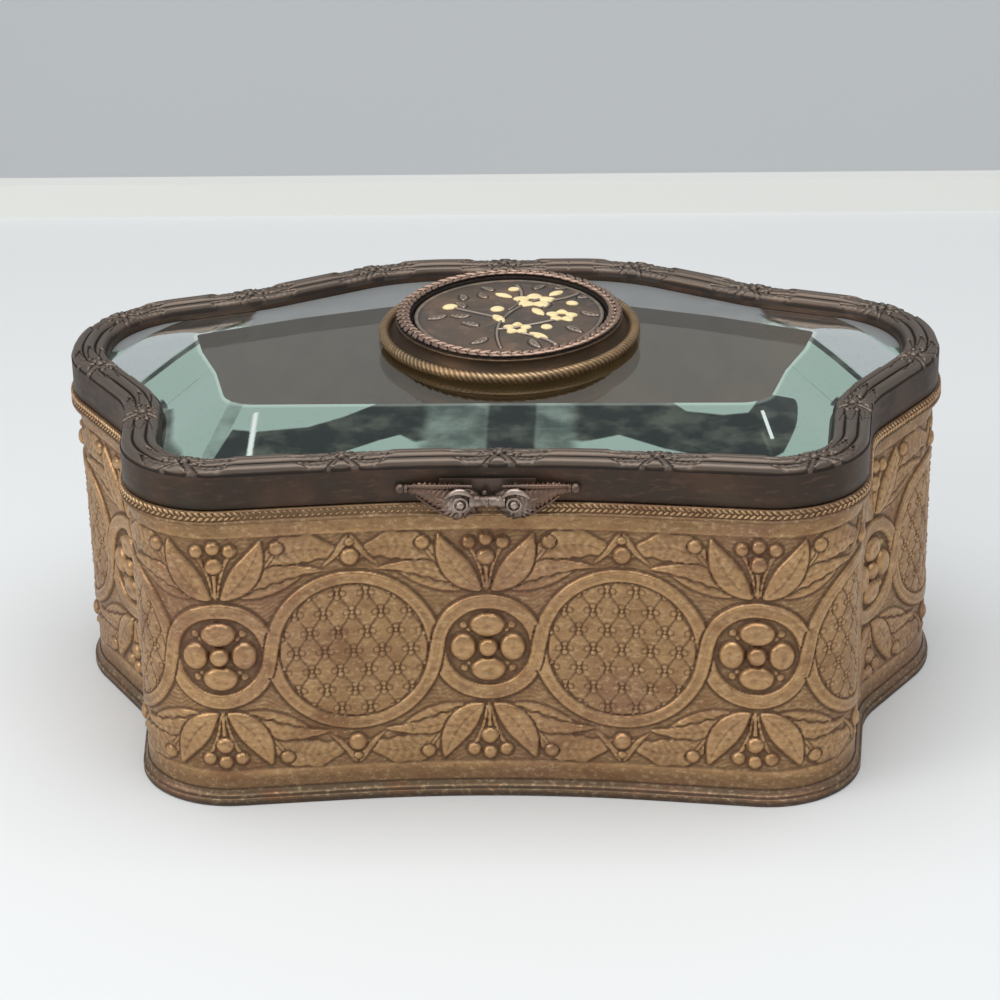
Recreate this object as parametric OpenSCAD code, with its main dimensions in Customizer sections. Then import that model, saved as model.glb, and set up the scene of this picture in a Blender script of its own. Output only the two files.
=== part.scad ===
// Keepsake casket: a wall of stamped brass on a shaped plan, and a hinged lid that frames a bevelled
// glass with an oval medallion. Lengths are millimetres. The front faces -Y and the hinge is at +Y.
// Every moulding is a profile swept round one outline, so a profile's x is how far it stands outside
// the lid's edge and its y is its height.

/* [Plan of the lid] */
// Distance of the front's middle corner from the middle
front_y = 54; // [52:0.5:56]
// Radius of the hollow in the front
front_r = 250; // [150:10:400]
// Sideways distance of a front lobe's corner
lobe_x = 69.5; // [66:0.5:72]
// Forward distance of a front lobe's corner
lobe_y = 62.3; // [60:0.5:66]
// Radius of a front lobe
lobe_r = 19; // [16:0.5:22]
// Sideways distance of the waist behind a lobe
waist_x = 73.5; // [70:0.5:77]
// Forward distance of the waist
waist_y = 24.5; // [20:0.5:28]
// Radius of the waist
waist_r = 20; // [14:1:30]
// Sideways distance of a wing's front corner
wing_x = 90; // [86:0.5:96]
// Backward distance of a wing's front corner
wing_y = 1; // [-2:0.5:3]
// Radius of a wing's front corner
wing_r = 25; // [16:1:26]
// Sideways distance of a wing's back corner
shoulder_x = 89; // [85:0.5:95]
// Backward distance of a wing's back corner
shoulder_y = 28.5; // [28:0.5:33]
// Radius of a wing's back corner
shoulder_r = 27; // [20:1:28]
// Sideways distance of the hollow in the back
neck_x = 55.5; // [52:0.5:58]
// Backward distance of the hollow in the back
neck_y = 41.5; // [39:0.5:44]
// Radius of the hollow in the back
neck_r = 28; // [20:1:40]
// Sideways distance of the back's corner
back_x = 26; // [25.5:0.5:30]
// Backward distance of the straight back
back_y = 60; // [57:0.5:63]
// Radius of the back's corner
back_r = 42; // [30:1:44]

/* [Case] */
// Height of the closed case below the lid
case_h = 63; // [55:0.5:80]
// How far the plain wall stands inside the lid's edge
wall_in = 1.2; // [0.9:0.1:1.6]
// Thickness of the stamped wall
wall_t = 0.7; // [0.5:0.1:0.9]
// Thickness of the covered lining board
lining_t = 1.95; // [1.5:0.05:2.5]
// Thickness of the base plate
plate_t = 1.2; // [0.8:0.1:1.6]
// Thickness of the covered floor board
floor_t = 2.5; // [2:0.1:5]
// Clearance between curved pieces that nest in each other
nest = 0.05; // [0.04:0.01:0.08]

/* [Stamped pattern] */
// Number of roundels round the wall, an odd number
roundels = 19; // [17:2:21]
// Sideways place of the middle flower
flower_x = -1.3; // [-3:0.1:3]
// Height of the pattern's lower edge
pattern_z = 7; // [6:0.1:9]
// Distance of the pattern's upper edge below the top of the case
pattern_drop = 5.4; // [4:0.1:8]
// Radius of the ribbon's middle round a flower
flower_r = 9.6; // [9.2:0.1:10]
// Radius of the ribbon's middle round a lattice
lattice_r = 15.5; // [15:0.1:16]
// Width of the ribbon
ribbon_w = 2.8; // [2:0.1:3.2]
// How far the ribbon stands proud of the wall
ribbon_rise = 0.7; // [0.3:0.05:0.9]
// Radius of the circle on which the petals are highest
petal_r = 4.6; // [4:0.1:5]
// How far the petals stand proud
petal_rise = 1.25; // [0.8:0.05:1.3]
// Radius of a flower's boss
boss_r = 1.9; // [1.5:0.1:2.4]
// How far the boss stands proud
boss_rise = 1.3; // [0.8:0.05:1.3]
// How far the leaves stand proud
leaf_rise = 0.9; // [0.4:0.05:1.1]
// How far the berries stand proud
berry_rise = 1.05; // [0.5:0.05:1.2]
// Radius of the lattice's cushion
cushion_r = 7.5; // [6:0.5:9]
// How far the lattice's cushion stands proud
cushion_rise = 0.45; // [0.2:0.05:0.6]
// Width of the step at a ribbon's edge
ribbon_edge = 0.6; // [0.4:0.1:1]
// How far the ground between the forms stands proud
ground_rise = 0.08; // [0.02:0.02:0.16]

/* [Base moulding] */
// How far the base moulding stands outside the lid's edge
foot_out = 0.4; // [0:0.1:1]
// Height of the base moulding
foot_h = 3.2; // [2.8:0.1:4.5]
// Height of its plain step
foot_step = 1.5; // [1:0.1:1.9]

/* [Rim border] */
// How far the rim border stands outside the lid's edge
rim_out = 0.7; // [0.4:0.1:1]
// Height of the rim border's face
rim_h = 2.7; // [2:0.1:4]
// Thickness of the flange that covers the top of the wall
flange_t = 0.8; // [0.6:0.1:1.2]

/* [Lid frame] */
// Gap between the rim and the closed lid
lid_gap = 0.3; // [0.3:0.05:0.4]
// Height of the frame's plain band
band_h = 6.8; // [6.4:0.1:8]
// Thickness of the plain band
band_t = 1.4; // [1.1:0.1:1.5]
// Width of the frame seen from above
frame_w = 7.6; // [7.2:0.1:8.2]
// How far the frame's lip lies below the top of the band
lip_drop = 1.5; // [1.3:0.1:1.7]
// Radius of each reed
reed_r = 1.2; // [1.15:0.05:1.3]
// Spacing of the reeds
reed_pitch = 2.25; // [2.1:0.05:2.3]
// How far the middle reed stands above the outer one
reed_rise = 0.4; // [0.2:0.1:0.7]

/* [Glass] */
// Thickness of the glass at its flat top
glass_t = 6; // [5:0.25:8]
// Thickness of the glass at its edge
glass_edge_t = 3.3; // [2.5:0.1:3.6]
// How far the edge of the glass lies inside the lid's edge
glass_in = 3; // [2.8:0.1:4]
// How far the bevel runs in at the front's middle
bevel_front_y = 27; // [20:0.5:30]
// How far the bevel runs in at a lobe, sideways
bevel_lobe_x = 16.5; // [13:0.5:20]
// How far the bevel runs in at a lobe, backwards
bevel_lobe_y = 35; // [28:0.5:36]
// How far the bevel runs in at a waist, sideways
bevel_waist_x = 16.2; // [14:0.2:19]
// How far the bevel's corner lies behind a waist
bevel_waist_y = 14.5; // [11:0.5:16]
// How far the bevel runs in at a wing, sideways
bevel_wing_x = 28.2; // [24:0.2:30]
// How far the bevel's corner lies behind a wing's front corner
bevel_wing_y = 1; // [-1:0.5:3]
// How far the bevel runs in at a wing's back corner, sideways
bevel_shoulder_x = 24.7; // [21:0.1:27]
// How far the bevel runs in at a wing's back corner, forwards
bevel_shoulder_y = 16.5; // [14:0.5:18]
// How far the bevel runs in at the back's hollow, sideways
bevel_neck_x = 11.5; // [9:0.5:14]
// How far the bevel runs in at the back's hollow, forwards
bevel_neck_y = 20; // [17:0.5:22]
// How far the bevel runs in at the back's corner, sideways
bevel_back_x = 4; // [0:0.5:8]
// How far the bevel runs in at the back
bevel_back_y = 30.5; // [24:0.5:32]
// Rounding of the bevel's front corners
bevel_r = 7; // [4:0.5:9]
// Thickness of the strip that holds the glass from below
retainer_t = 0.8; // [0.6:0.1:1]
// How far the strip reaches in past the lid's edge
retainer_in = 8.5; // [7:0.1:10]
// Gap between the strip's outer edge and the glass's edge
retainer_step = 0.4; // [0.2:0.1:0.5]
// Width of a bent tab
tab_w = 6; // [4:0.5:8]
// Thickness of a bent tab
tab_t = 0.6; // [0.4:0.1:0.7]
// Reach of a bent tab under the strip
tab_reach = 3.2; // [2.6:0.1:4]

/* [Medallion] */
// Sideways place of the medallion's middle
medal_x = 1.2; // [-2:0.1:2]
// Backward place of the medallion's middle
medal_y = 12; // [8:0.5:14]
// Half the width of the medallion
medal_a = 27.2; // [25:0.1:30]
// Half the depth of the medallion
medal_b = 30; // [28.5:0.1:31]
// Distance of the oval's front and back centres from its middle
medal_e = 6; // [5:0.1:7]
// Radius of the rope round the medallion
rope_r = 1.15; // [1:0.05:1.3]
// Height of the dish under the wreath
dish_h = 3.9; // [3.2:0.1:5]
// Wall of the dish
dish_t = 1.1; // [0.8:0.1:1.3]
// How far the wreath's outer edge lies inside the rope's
wreath_in = 3.7; // [3.4:0.1:4.5]
// Width of the wreath
wreath_w = 3; // [2.6:0.1:3.4]
// Gap between the wreath and the plaque
plaque_gap = 0.8; // [0.4:0.1:1.2]
// Thickness of the plaque at its edge
plaque_t = 1.6; // [1.2:0.1:2]
// Radius of the plaque's domed face
plaque_dome_r = 220; // [150:10:400]
// How far the inlays stand above the plaque
inlay_h = 0.45; // [0.3:0.05:0.7]
// Radius of the threaded stud
stud_r = 2; // [1.5:0.1:2.5]
// Clearance of the stud in the glass
stud_play = 0.5; // [0.3:0.1:1]
// Length of stud below the glass
stud_l = 6; // [5:0.1:7]
// Radius of the washer
washer_r = 8; // [6:0.5:12]
// Thickness of the washer
washer_t = 1; // [0.6:0.1:1.5]
// Width of the nut across its flats
nut_w = 7; // [6:0.5:9]
// Height of the nut
nut_h = 3; // [2.4:0.1:3.6]

/* [Thumb lift] */
// Sideways place of the thumb lift
lift_x = -0.5; // [-3:0.5:3]
// Distance between the two scroll eyes
lift_eyes = 10; // [9:0.5:14]
// Radius of a horn at its scroll
lift_horn_r = 3.5; // [3:0.1:3.7]
// Radius of a horn at its tip
lift_tip_r = 0.9; // [0.6:0.1:1.2]
// Radius of the pearl on a horn's tip
pearl_r = 1.2; // [1:0.05:1.4]
// Radius of a scroll's eye
eye_r = 1.4; // [1.1:0.1:1.6]
// How far a scroll's eye stands proud
eye_rise = 0.3; // [0.2:0.05:0.5]
// Distance from a scroll to its tip
lift_horn_l = 11.5; // [9:0.5:14]
// Gap between the lift and the rim border
lift_gap = 0.4; // [0.3:0.1:0.8]
// Half the width of its fixing pad
lift_pad = 9; // [7:0.5:10]
// Height of its fixing pad
lift_pad_h = 3.8; // [3:0.1:4.4]
// How far the fixing pad lies above the lower edge of the lid
lift_pad_up = 1; // [0.6:0.1:1.2]
// How far the lift's top lies above the lower edge of the lid
lift_top = 4.2; // [3.9:0.1:5]
// Radius of the bar between its scrolls
lift_bar_r = 1.5; // [1:0.1:1.8]
// Radius of the rivets that hold it
lift_rivet_r = 0.75; // [0.6:0.05:0.9]
// How deep those rivets reach into the pad
lift_rivet_l = 2.1; // [1.5:0.1:2.4]

/* [Hinge] */
// Width of the hinge
hinge_w = 24; // [18:0.5:26]
// Number of knuckles, an odd number
knuckles = 5; // [3:2:7]
// Radius of the barrel
barrel_r = 1.8; // [1.6:0.1:2.1]
// Radius of the pin
pin_r = 0.8; // [0.6:0.05:0.9]
// Clearance of the pin in the knuckles
pin_play = 0.05; // [0.03:0.01:0.08]
// Gap between neighbouring knuckles
knuckle_gap = 0.15; // [0.1:0.05:0.3]
// Thickness of a leaf
leaf_t = 1; // [0.8:0.1:1.2]
// How far the case's leaf reaches below the pin
leaf_case_h = 11; // [9:0.5:14]
// How far the lid's leaf reaches above the pin
leaf_lid_h = 6.2; // [5.8:0.1:6.6]
// Room round the barrel
barrel_room = 0.3; // [0.25:0.05:0.4]
// How far the pin's heads stand out past the knuckles
pin_head_l = 0.5; // [0.3:0.1:0.8]
// How far the pin's heads reach out past its shank
pin_head_w = 0.4; // [0.2:0.1:0.6]
// Radius of the hinge rivets
hinge_rivet_r = 0.8; // [0.6:0.05:0.9]
// Distance between the hinge rivets
hinge_rivets = 14; // [10:0.5:16]
// How far the case's rivets lie above the lower end of its leaf
rivet_up = 3; // [2:0.5:5]
// How far the lid's rivets lie below the upper end of its leaf
rivet_down = 1.9; // [1.7:0.1:2.2]

/* [Hidden] */

$fn = 72;
// How far a cutter runs past what it cuts
past = 1;
// Largest distance between an arc and the chords that stand for it
sag = 0.065;

// Reach of a rivet hole to either side of its wall
hole_reach = 5;

// Heights, upwards from the base
wall_top = case_h - flange_t;
lid_z = case_h + lid_gap;
band_top = lid_z + band_h;
lip_z = band_top - lip_drop;
glass_land = lip_z - nest;
glass_z = glass_land - glass_edge_t;
glass_top = glass_z + glass_t;
hinge_z = case_h + lid_gap / 2;
case_rivet_z = hinge_z - leaf_case_h + rivet_up;
lid_rivet_z = hinge_z + leaf_lid_h - rivet_down;
lift_rivet_z = lid_z + lift_pad_up + lift_pad_h / 2;

// Heights of the reeds' middles above the band, the first one's middle in reed radii inside the band's
// face, and the angles at which each reed's section has its points
reed_heights = [0.2, 0.2 + reed_rise, 0.1];
reed_start = 1.2;
reed_angles = [30, 90, 150];
// Points of the section of the medallion's rope and wreath
round_points = 7;
// A rivet's head as [distance from its axis, height above its seat], in radii of its shank
rivet_head = [[2, 0], [1.8, 0.5], [1.2, 0.8], [0, 0.9]];

// How far the wall's long chords may stray from its curves
stray = 0.1;

// Places of the faces, as distances outside the lid's edge
wall_face = -(wall_in + stray);
wall_inside = -(wall_in + wall_t - stray);
lining_out = -(wall_in + wall_t + nest);
lining_face = lining_out - lining_t;
rim_face = -wall_in + nest;

// The hinge's barrel touches the plane of the wall with its front
hinge_y = back_y - wall_in + barrel_r;
// The thumb lift's back plane clears the rim border
lift_back = -(front_mid() + rim_out + lift_gap);
lift_axis = lift_back - lift_horn_r / 10;
// How far the hollow front has come forward at the lift's rivets
lift_sag = 0.1;
// Half the plaque's width in the units that its spray is drawn in
spray_units = 20;
// The spray's blossoms and buds as [x, y, radius], and its leaves as [x, y, turn]
blossoms = [[5, 7, 4.6], [11, -2, 3.4], [2, -9.5, 3]];
buds = [[-2.5, 1.5, 1.5], [13, 6, 1.3], [8, -8.5, 1.2], [-12.5, 4, 1.6], [0.5, 15, 1.3]];
leaves = [[6, 0, -60], [-2, -4, 120], [9.5, 12.5, 55], [-1.5, 10.5, 140], [6.5, -13, -35]];
petals = 5;
leaf_l = 4.8;
leaf_w = 2.1;
// The object's box is centred on its origin
shift_y = -(hinge_y + barrel_r + lift_axis - lift_horn_r) / 2;

// The lid's corners as [x, y, radius], anticlockwise from the front's middle
half_plan = [
    [0, -front_y, front_r],
    [lobe_x, -lobe_y, lobe_r],
    [waist_x, -waist_y, waist_r],
    [wing_x, wing_y, wing_r],
    [shoulder_x, shoulder_y, shoulder_r],
    [neck_x, neck_y, neck_r],
    [back_x, back_y, back_r]
];
// How far each of those corners is moved to give the glass's flat top, and its new radius
half_bevel = [
    [0, bevel_front_y, 2000],
    [-bevel_lobe_x, bevel_lobe_y, bevel_r],
    [-bevel_waist_x, bevel_waist_y, 10],
    [-bevel_wing_x, bevel_wing_y, 10],
    [-bevel_shoulder_x, -bevel_shoulder_y, 1.2],
    [-bevel_neck_x, -bevel_neck_y, 30],
    [-bevel_back_x, -bevel_back_y, 25]
];
half_flat = [for (i = [0 : len(half_plan) - 1])
    [half_plan[i][0] + half_bevel[i][0], half_plan[i][1] + half_bevel[i][1], half_bevel[i][2]]];
plan = both_halves(half_plan);
flat_top = both_halves(half_flat);

// A four-centre oval, given as the corners of the rhombus that its arcs round off
medal_f = (pow(medal_e, 2) - pow(medal_b - medal_a - medal_e, 2)) / (2 * (medal_e - medal_b + medal_a));
join_angle = atan2(medal_e, medal_f);
medal_end_r = medal_b - medal_e;
medal_side_r = medal_a + medal_f;
medal_corner_x = medal_side_r / cos(join_angle) - medal_f;
medal_corner_y = medal_end_r / sin(join_angle) + medal_e;
medal = [
    [0, -medal_corner_y, medal_end_r],
    [medal_corner_x, 0, medal_side_r],
    [0, medal_corner_y, medal_end_r],
    [-medal_corner_x, 0, medal_side_r]
];
rope_z = glass_top + rope_r;
wreath_z = glass_top + dish_h;
plaque_edge = -(wreath_in + wreath_w + plaque_gap);
plaque_z = wreath_z - plaque_t;

// Distances along the wall at which its corners' arcs begin, from the front's middle, and its whole length
wall_starts = [for (i = [0 : len(plan)]) arc_begin(plan, i, -wall_in)];
wall_length = wall_starts[len(plan)] - wall_starts[0];

// The pattern's half height, and the steps in which its cells' sides go up, with their heights
pattern_half = (case_h - pattern_drop - pattern_z) / 2;
side_steps = 3;
side_v = pattern_half * [0, 0.21, 0.51, 1];
side_rise = [ribbon_rise, 0.6 * ribbon_rise, 0.5 * leaf_rise, 0];
// Least distance between two circles at a cell's side, and the flat room round the hinge's leaf
side_gap = 0.2;
leaf_room = 4.5;
// Circles of the relief as [radius, its rise in the directions of a quarter, from sideways to upwards]
flower_circles = [
    [boss_r, same(ground_rise, 7)],
    [petal_r, petal_rise * [1, 0.9, 0.4, 0.05, 0.4, 0.9, 1]],
    [flower_r - ribbon_w / 2 - ribbon_edge, same(ground_rise, 7)],
    [flower_r - ribbon_w / 2, same(ribbon_rise, 7)],
    [flower_r + ribbon_w / 2, same(ribbon_rise, 7)],
    [flower_r + ribbon_w / 2 + ribbon_edge, concat(same(ribbon_rise, 2), same(ground_rise, 5))]
];
lattice_circles = [
    [cushion_r, cushion_rise * [1, 0.7, 0.45, 0.7, 0.7, 0.45, 0.7, 1]],
    [lattice_r - ribbon_w / 2 - ribbon_edge, same(2 * ground_rise, 8)],
    [lattice_r - ribbon_w / 2, same(ribbon_rise, 8)],
    [lattice_r + ribbon_w / 2, same(ribbon_rise, 8)]
];
// Leaves and berries outside the circles, as [share of the way to the cell's edge, rises as before]
flower_sprays = [
    [0.35, concat(ribbon_rise * [1, 0.6], leaf_rise * [0.2, 0.35, 0.85, 0.1, 0.35])],
    [0.75, concat(ribbon_rise * [0.9, 0.5], leaf_rise * [0.4, 0.3, 1, 0.15], berry_rise)]
];
lattice_sprays = [
    [0.5, concat(ribbon_rise * [1, 0.6], leaf_rise * [0.3, 0.95, 0.7, 0.4, 0.1], berry_rise)]
];

// The whole round of corners from the right half, whose first corner lies on the middle
function both_halves(h) = concat(h, [for (i = [len(h) - 1 : -1 : 1]) [-h[i][0], h[i][1], h[i][2]]]);
// The middle of the front's hollow, which its radius brings in from the corner
function front_mid() = front_y + front_r * (1 / cos(atan((lobe_y - front_y) / lobe_x)) - 1);
function after(c, i) = c[(i + 1) % len(c)];
function before(c, i) = c[(i + len(c) - 1) % len(c)];
function direction(a, b) = atan2(b[1] - a[1], b[0] - a[0]);
function wrapped(a) = a > 180 ? a - 360 : a < -180 ? a + 360 : a;
// Direction of the side that leads to corner i, and of the one that leaves it
function heading_in(c, i) = direction(before(c, i), c[i]);
function heading_out(c, i) = direction(c[i], after(c, i));
// Turn at corner i, positive where the outline bulges
function turn(c, i) = wrapped(heading_out(c, i) - heading_in(c, i));
// Length of side that the rounding of corner i takes up
function reach(c, i) = c[i][2] * tan(abs(turn(c, i)) / 2);
function arc_start(c, i) =
    let (h = heading_in(c, i)) [c[i][0] - reach(c, i) * cos(h), c[i][1] - reach(c, i) * sin(h)];
function arc_centre(c, i) =
    let (h = heading_in(c, i), r = c[i][2] * sign(turn(c, i)), p = arc_start(c, i))
    [p[0] - r * sin(h), p[1] + r * cos(h)];
function arc_angle(c, i) = heading_in(c, i) - 90 * sign(turn(c, i));
// A point of corner i's arc, at a share of its turn and a distance outside the outline
function arc_point(c, i, share, out) =
    let (m = arc_centre(c, i), a = arc_angle(c, i) + share * turn(c, i),
         r = c[i][2] + out * sign(turn(c, i)))
    [m[0] + r * cos(a), m[1] + r * sin(a)];
// Number of chords that keeps an arc within the sag
function chords(c, i) = max(2, ceil(abs(turn(c, i)) / (2 * acos(1 - sag / c[i][2]))));
// The outline moved out by a distance, with fine chords or with the same number at every corner
function outline(c, out) =
    [for (i = [0 : len(c) - 1]) let (n = chords(c, i)) for (k = [0 : n]) arc_point(c, i, k / n, out)];
function ring(c, out, n, z) =
    [for (i = [0 : len(c) - 1]) for (k = [0 : n]) concat(arc_point(c, i, k / n, out), z)];

// Lengths of corner i's arc, at a distance outside the outline, and of the side that leaves it
function arc_length(c, i, out) = abs(turn(c, i)) * PI / 180 * (c[i][2] + out * sign(turn(c, i)));
function side_length(c, i) =
    norm([after(c, i)[0] - c[i][0], after(c, i)[1] - c[i][1]]) - reach(c, i) - reach(c, (i + 1) % len(c));
function arc_begin(c, i, out) = i == 0
    ? -arc_length(c, 0, out) / 2
    : arc_begin(c, i - 1, out) + arc_length(c, i - 1, out) + side_length(c, i - 1);
// A point at a distance s along the wall and a distance outside the outline
function wall_at(s, out) =
    let (t = s < wall_starts[0] ? s + wall_length : s,
         i = max([for (k = [0 : len(plan) - 1]) if (wall_starts[k] <= t) k]),
         past_start = t - wall_starts[i], l = arc_length(plan, i, -wall_in))
    past_start < l
        ? arc_point(plan, i, past_start / l, out)
        : arc_point(plan, i, 1, out)
            + (past_start - l) * [cos(heading_out(plan, i)), sin(heading_out(plan, i))];

function same(x, n) = [for (k = [1 : n]) x];
function total(v, n) = n == 0 ? 0 : v[n - 1] + total(v, n - 1);

// A closed ring whose section is a profile of [distance outside the outline, height] points
module along(c, profile) {
    m = len(profile);
    points = [for (i = [0 : len(c) - 1]) let (n = chords(c, i)) for (k = [0 : n], p = profile)
        concat(arc_point(c, i, k / n, p[0]), p[1])];
    n = len(points) / m;
    polyhedron(
        points = points,
        faces = [for (j = [0 : n - 1], k = [0 : m - 1]) let (j2 = (j + 1) % n, k2 = (k + 1) % m)
            [j * m + k, j * m + k2, j2 * m + k2, j2 * m + k]]);
}

// A wall between two distances outside the outline
module wall(c, inner, outer, z0, z1) {
    difference() {
        sheet(c, outer, z0, z1 - z0);
        sheet(c, inner, z0 - past, z1 - z0 + 2 * past);
    }
}

// Points of a round profile from one angle to another, with n chords
function round_profile(x, z, r, a0, a1, n) =
    [for (k = [0 : n]) let (a = a0 + (a1 - a0) * k / n) [x + r * cos(a), z + r * sin(a)]];

// A plate with the outline, moved out by a distance
module sheet(c, out, z, t) {
    translate([0, 0, z])
        linear_extrude(t)
            polygon(outline(c, out));
}

module placed() {
    translate([0, shift_y, 0])
        children();
}

module at_medallion() {
    translate([medal_x, medal_y, 0])
        children();
}

module at_hinge() {
    translate([0, hinge_y, hinge_z])
        children();
}

// A bar along X, centred
module bar_x(r, l) {
    rotate([0, 90, 0])
        cylinder(r = r, h = l, center = true);
}

module base_plate() {
    color("#7d6a48")
        sheet(plan, -wall_in - nest, 0, plate_t);
}

// A step with a rounded edge, under a hollow
module base_moulding() {
    fillet = 0.3;
    hollow = foot_h - foot_step;
    color("#9a7d4e")
        along(plan, [
                [rim_face - nest, 0],
                [foot_out, 0],
                [foot_out, foot_step - fillet],
                [foot_out - fillet, foot_step],
                [0, foot_step],
                [-0.1, foot_step + 0.4 * hollow],
                [-0.6, foot_h],
                [rim_face - nest, foot_h]
            ]);
}

// The wall is one stamped sheet. Its pattern is cut into cells, one for each roundel: a flower in every
// other cell and a lattice in the rest, with a ribbon that runs on from cell to cell.
module side_wall() {
    color("#a5824f")
        difference() {
            polyhedron(
                points = concat(side_points(), edge_points(1), edge_points(-1), relief_points(), sheet_points()),
                faces = concat(relief_faces(), sheet_faces())
            );
            case_rivet_holes(hinge_rivet_r + nest);
        }
}

function pitch() = wall_length / roundels;
function last() = roundels - 1;
function from_middle(m) = m - last() / 2;
function is_flower(m) = abs(from_middle(m)) % 2 == 0;
// The cell's half width: neighbours meet where the ribbon passes from one circle to the next
function half_w(m) = pitch() * (is_flower(m) ? flower_r : lattice_r) / (flower_r + lattice_r);
function cell_x(m) = flower_x + from_middle(m) * pitch();
// Distance along the wall: the first and last cell are fitted to the seam at the middle of the back
function cell_s(m, u) = cell_x(m) + u * (
    m == 0 && u < 0 ? (wall_length / 2 + cell_x(m)) / half_w(m) :
    m == last() && u > 0 ? (wall_length / 2 - cell_x(m)) / half_w(m) : 1);
// A point of the relief, which is flat behind the hinge's leaf
function relief_point(m, u, v, rise) =
    let (s = cell_s(m, u), z = pattern_z + pattern_half + v,
         flat = wall_length / 2 - abs(s) < hinge_w / 2 + leaf_room && z > hinge_z - leaf_case_h - leaf_room)
    concat(wall_at(s, wall_face + (flat ? 0 : rise)), z);

// Columns into which a cell's upper and lower edges are cut, and directions from its middle
function columns(m) = is_flower(m) ? 6 : 8;
function directions(m) = 2 * columns(m) + 4 * side_steps;
function circles(m) = is_flower(m) ? flower_circles : lattice_circles;
function sprays(m) = is_flower(m) ? flower_sprays : lattice_sprays;
function middle_rise(m) = is_flower(m) ? boss_rise : cushion_rise;
function levels(m) = len(circles(m)) + len(sprays(m));
// A direction's place in its quarter
function folded(m, j) = let (n = directions(m) / 2, k = j % n) k > n / 2 ? n - k : k;
// Where direction j meets the cell's edge, anticlockwise from the right
function edge_uv(m, j) =
    let (w = half_w(m), c = columns(m), n = side_steps)
    j <= n ? [w, side_v[j]] :
    j < n + c ? [w - 2 * w * (j - n) / c, pattern_half] :
    j <= 3 * n + c ? [-w, sign(2 * n + c - j) * side_v[abs(2 * n + c - j)]] :
    j < 3 * n + 2 * c ? [2 * w * (j - 3 * n - c) / c - w, -pattern_half] :
    [w, -side_v[4 * n + 2 * c - j]];
// A circle's point, kept inside the cell
function circle_uv(m, i, j) =
    let (r = circles(m)[i][0], a = 360 * j / directions(m),
         limit = half_w(m) - side_gap * (len(circles(m)) - i))
    [max(-limit, min(limit, r * cos(a))), r * sin(a)];
function spray_uv(m, share, j) = (1 - share) * circle_uv(m, len(circles(m)) - 1, j) + share * edge_uv(m, j);

// The points on the cells' sides, then those inside their upper or lower edges
function side_points() = [for (m = [0 : last()]) for (a = [-side_steps : side_steps])
    relief_point(m, -half_w(m), sign(a) * side_v[abs(a)], side_rise[abs(a)])];
function edge_points(way) = [for (m = [0 : last()]) for (q = [1 : columns(m) - 1])
    relief_point(m, 2 * half_w(m) * q / columns(m) - half_w(m), way * pattern_half, 0)];
// Each cell's middle, its circles and its sprays
function relief_points() = [for (m = [0 : last()]) each concat(
    [relief_point(m, 0, 0, middle_rise(m))],
    [for (i = [0 : len(circles(m)) - 1]) for (j = [0 : directions(m) - 1])
        let (p = circle_uv(m, i, j)) relief_point(m, p[0], p[1], circles(m)[i][1][folded(m, j)])],
    [for (spray = sprays(m)) for (j = [0 : directions(m) - 1])
        let (p = spray_uv(m, spray[0], j)) relief_point(m, p[0], p[1], spray[1][folded(m, j)])])];
// The plain edges of the sheet: its outer and inner upper edges, then its inner and outer lower ones
function sheet_points() = [for (e = [[wall_face, wall_top], [wall_inside, wall_top],
                                     [wall_inside, plate_t], [wall_face, plate_t]])
    for (m = [0 : last()]) for (q = [0 : columns(m) - 1])
        concat(wall_at(cell_s(m, 2 * half_w(m) * q / columns(m) - half_w(m)), e[0]), e[1])];

// Numbers of the points
inner_columns = [for (m = [0 : last()]) columns(m) - 1];
edge_from = roundels * (2 * side_steps + 1);
relief_from = edge_from + 2 * total(inner_columns, roundels);
cell_sizes = [for (m = [0 : last()]) 1 + levels(m) * directions(m)];
cell_from = [for (m = [0 : roundels]) relief_from + total(cell_sizes, m)];
sheet_from = cell_from[roundels];
all_columns = total(inner_columns, roundels) + roundels;
function side_no(m, a) = (m % roundels) * (2 * side_steps + 1) + a + side_steps;
function upper_no(m, q) = edge_from + total(inner_columns, m) + q - 1;
function lower_no(m, q) = upper_no(m, q) + total(inner_columns, roundels);
function level_no(m, i, j) = cell_from[m] + 1 + i * directions(m) + j;
function edge_no(m, j) =
    let (c = columns(m), n = side_steps)
    j <= n ? side_no(m + 1, j) :
    j < n + c ? upper_no(m, c + n - j) :
    j <= 3 * n + c ? side_no(m, 2 * n + c - j) :
    j < 3 * n + 2 * c ? lower_no(m, j - 3 * n - c) :
    side_no(m + 1, j - 4 * n - 2 * c);

// Two triangles between points a, a2 of one line and b, b2 of the next one, cut from a or from a2
function quad(a, a2, b, b2, from_a) = from_a ? [[a, a2, b2], [a, b2, b]] : [[a, a2, b], [a2, b2, b]];
// The quads of a quarter are cut as its mirror image's are
function relief_faces() = [for (m = [0 : last()]) for (j = [0 : directions(m) - 1])
    let (j2 = (j + 1) % directions(m), top = levels(m) - 1, up = folded(m, j2) > folded(m, j))
    each concat(
        [[cell_from[m], level_no(m, 0, j2), level_no(m, 0, j)]],
        [for (i = [0 : top - 1])
            each quad(level_no(m, i, j), level_no(m, i, j2), level_no(m, i + 1, j), level_no(m, i + 1, j2), up)],
        quad(level_no(m, top, j), level_no(m, top, j2), edge_no(m, j), edge_no(m, j2), up))];
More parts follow.
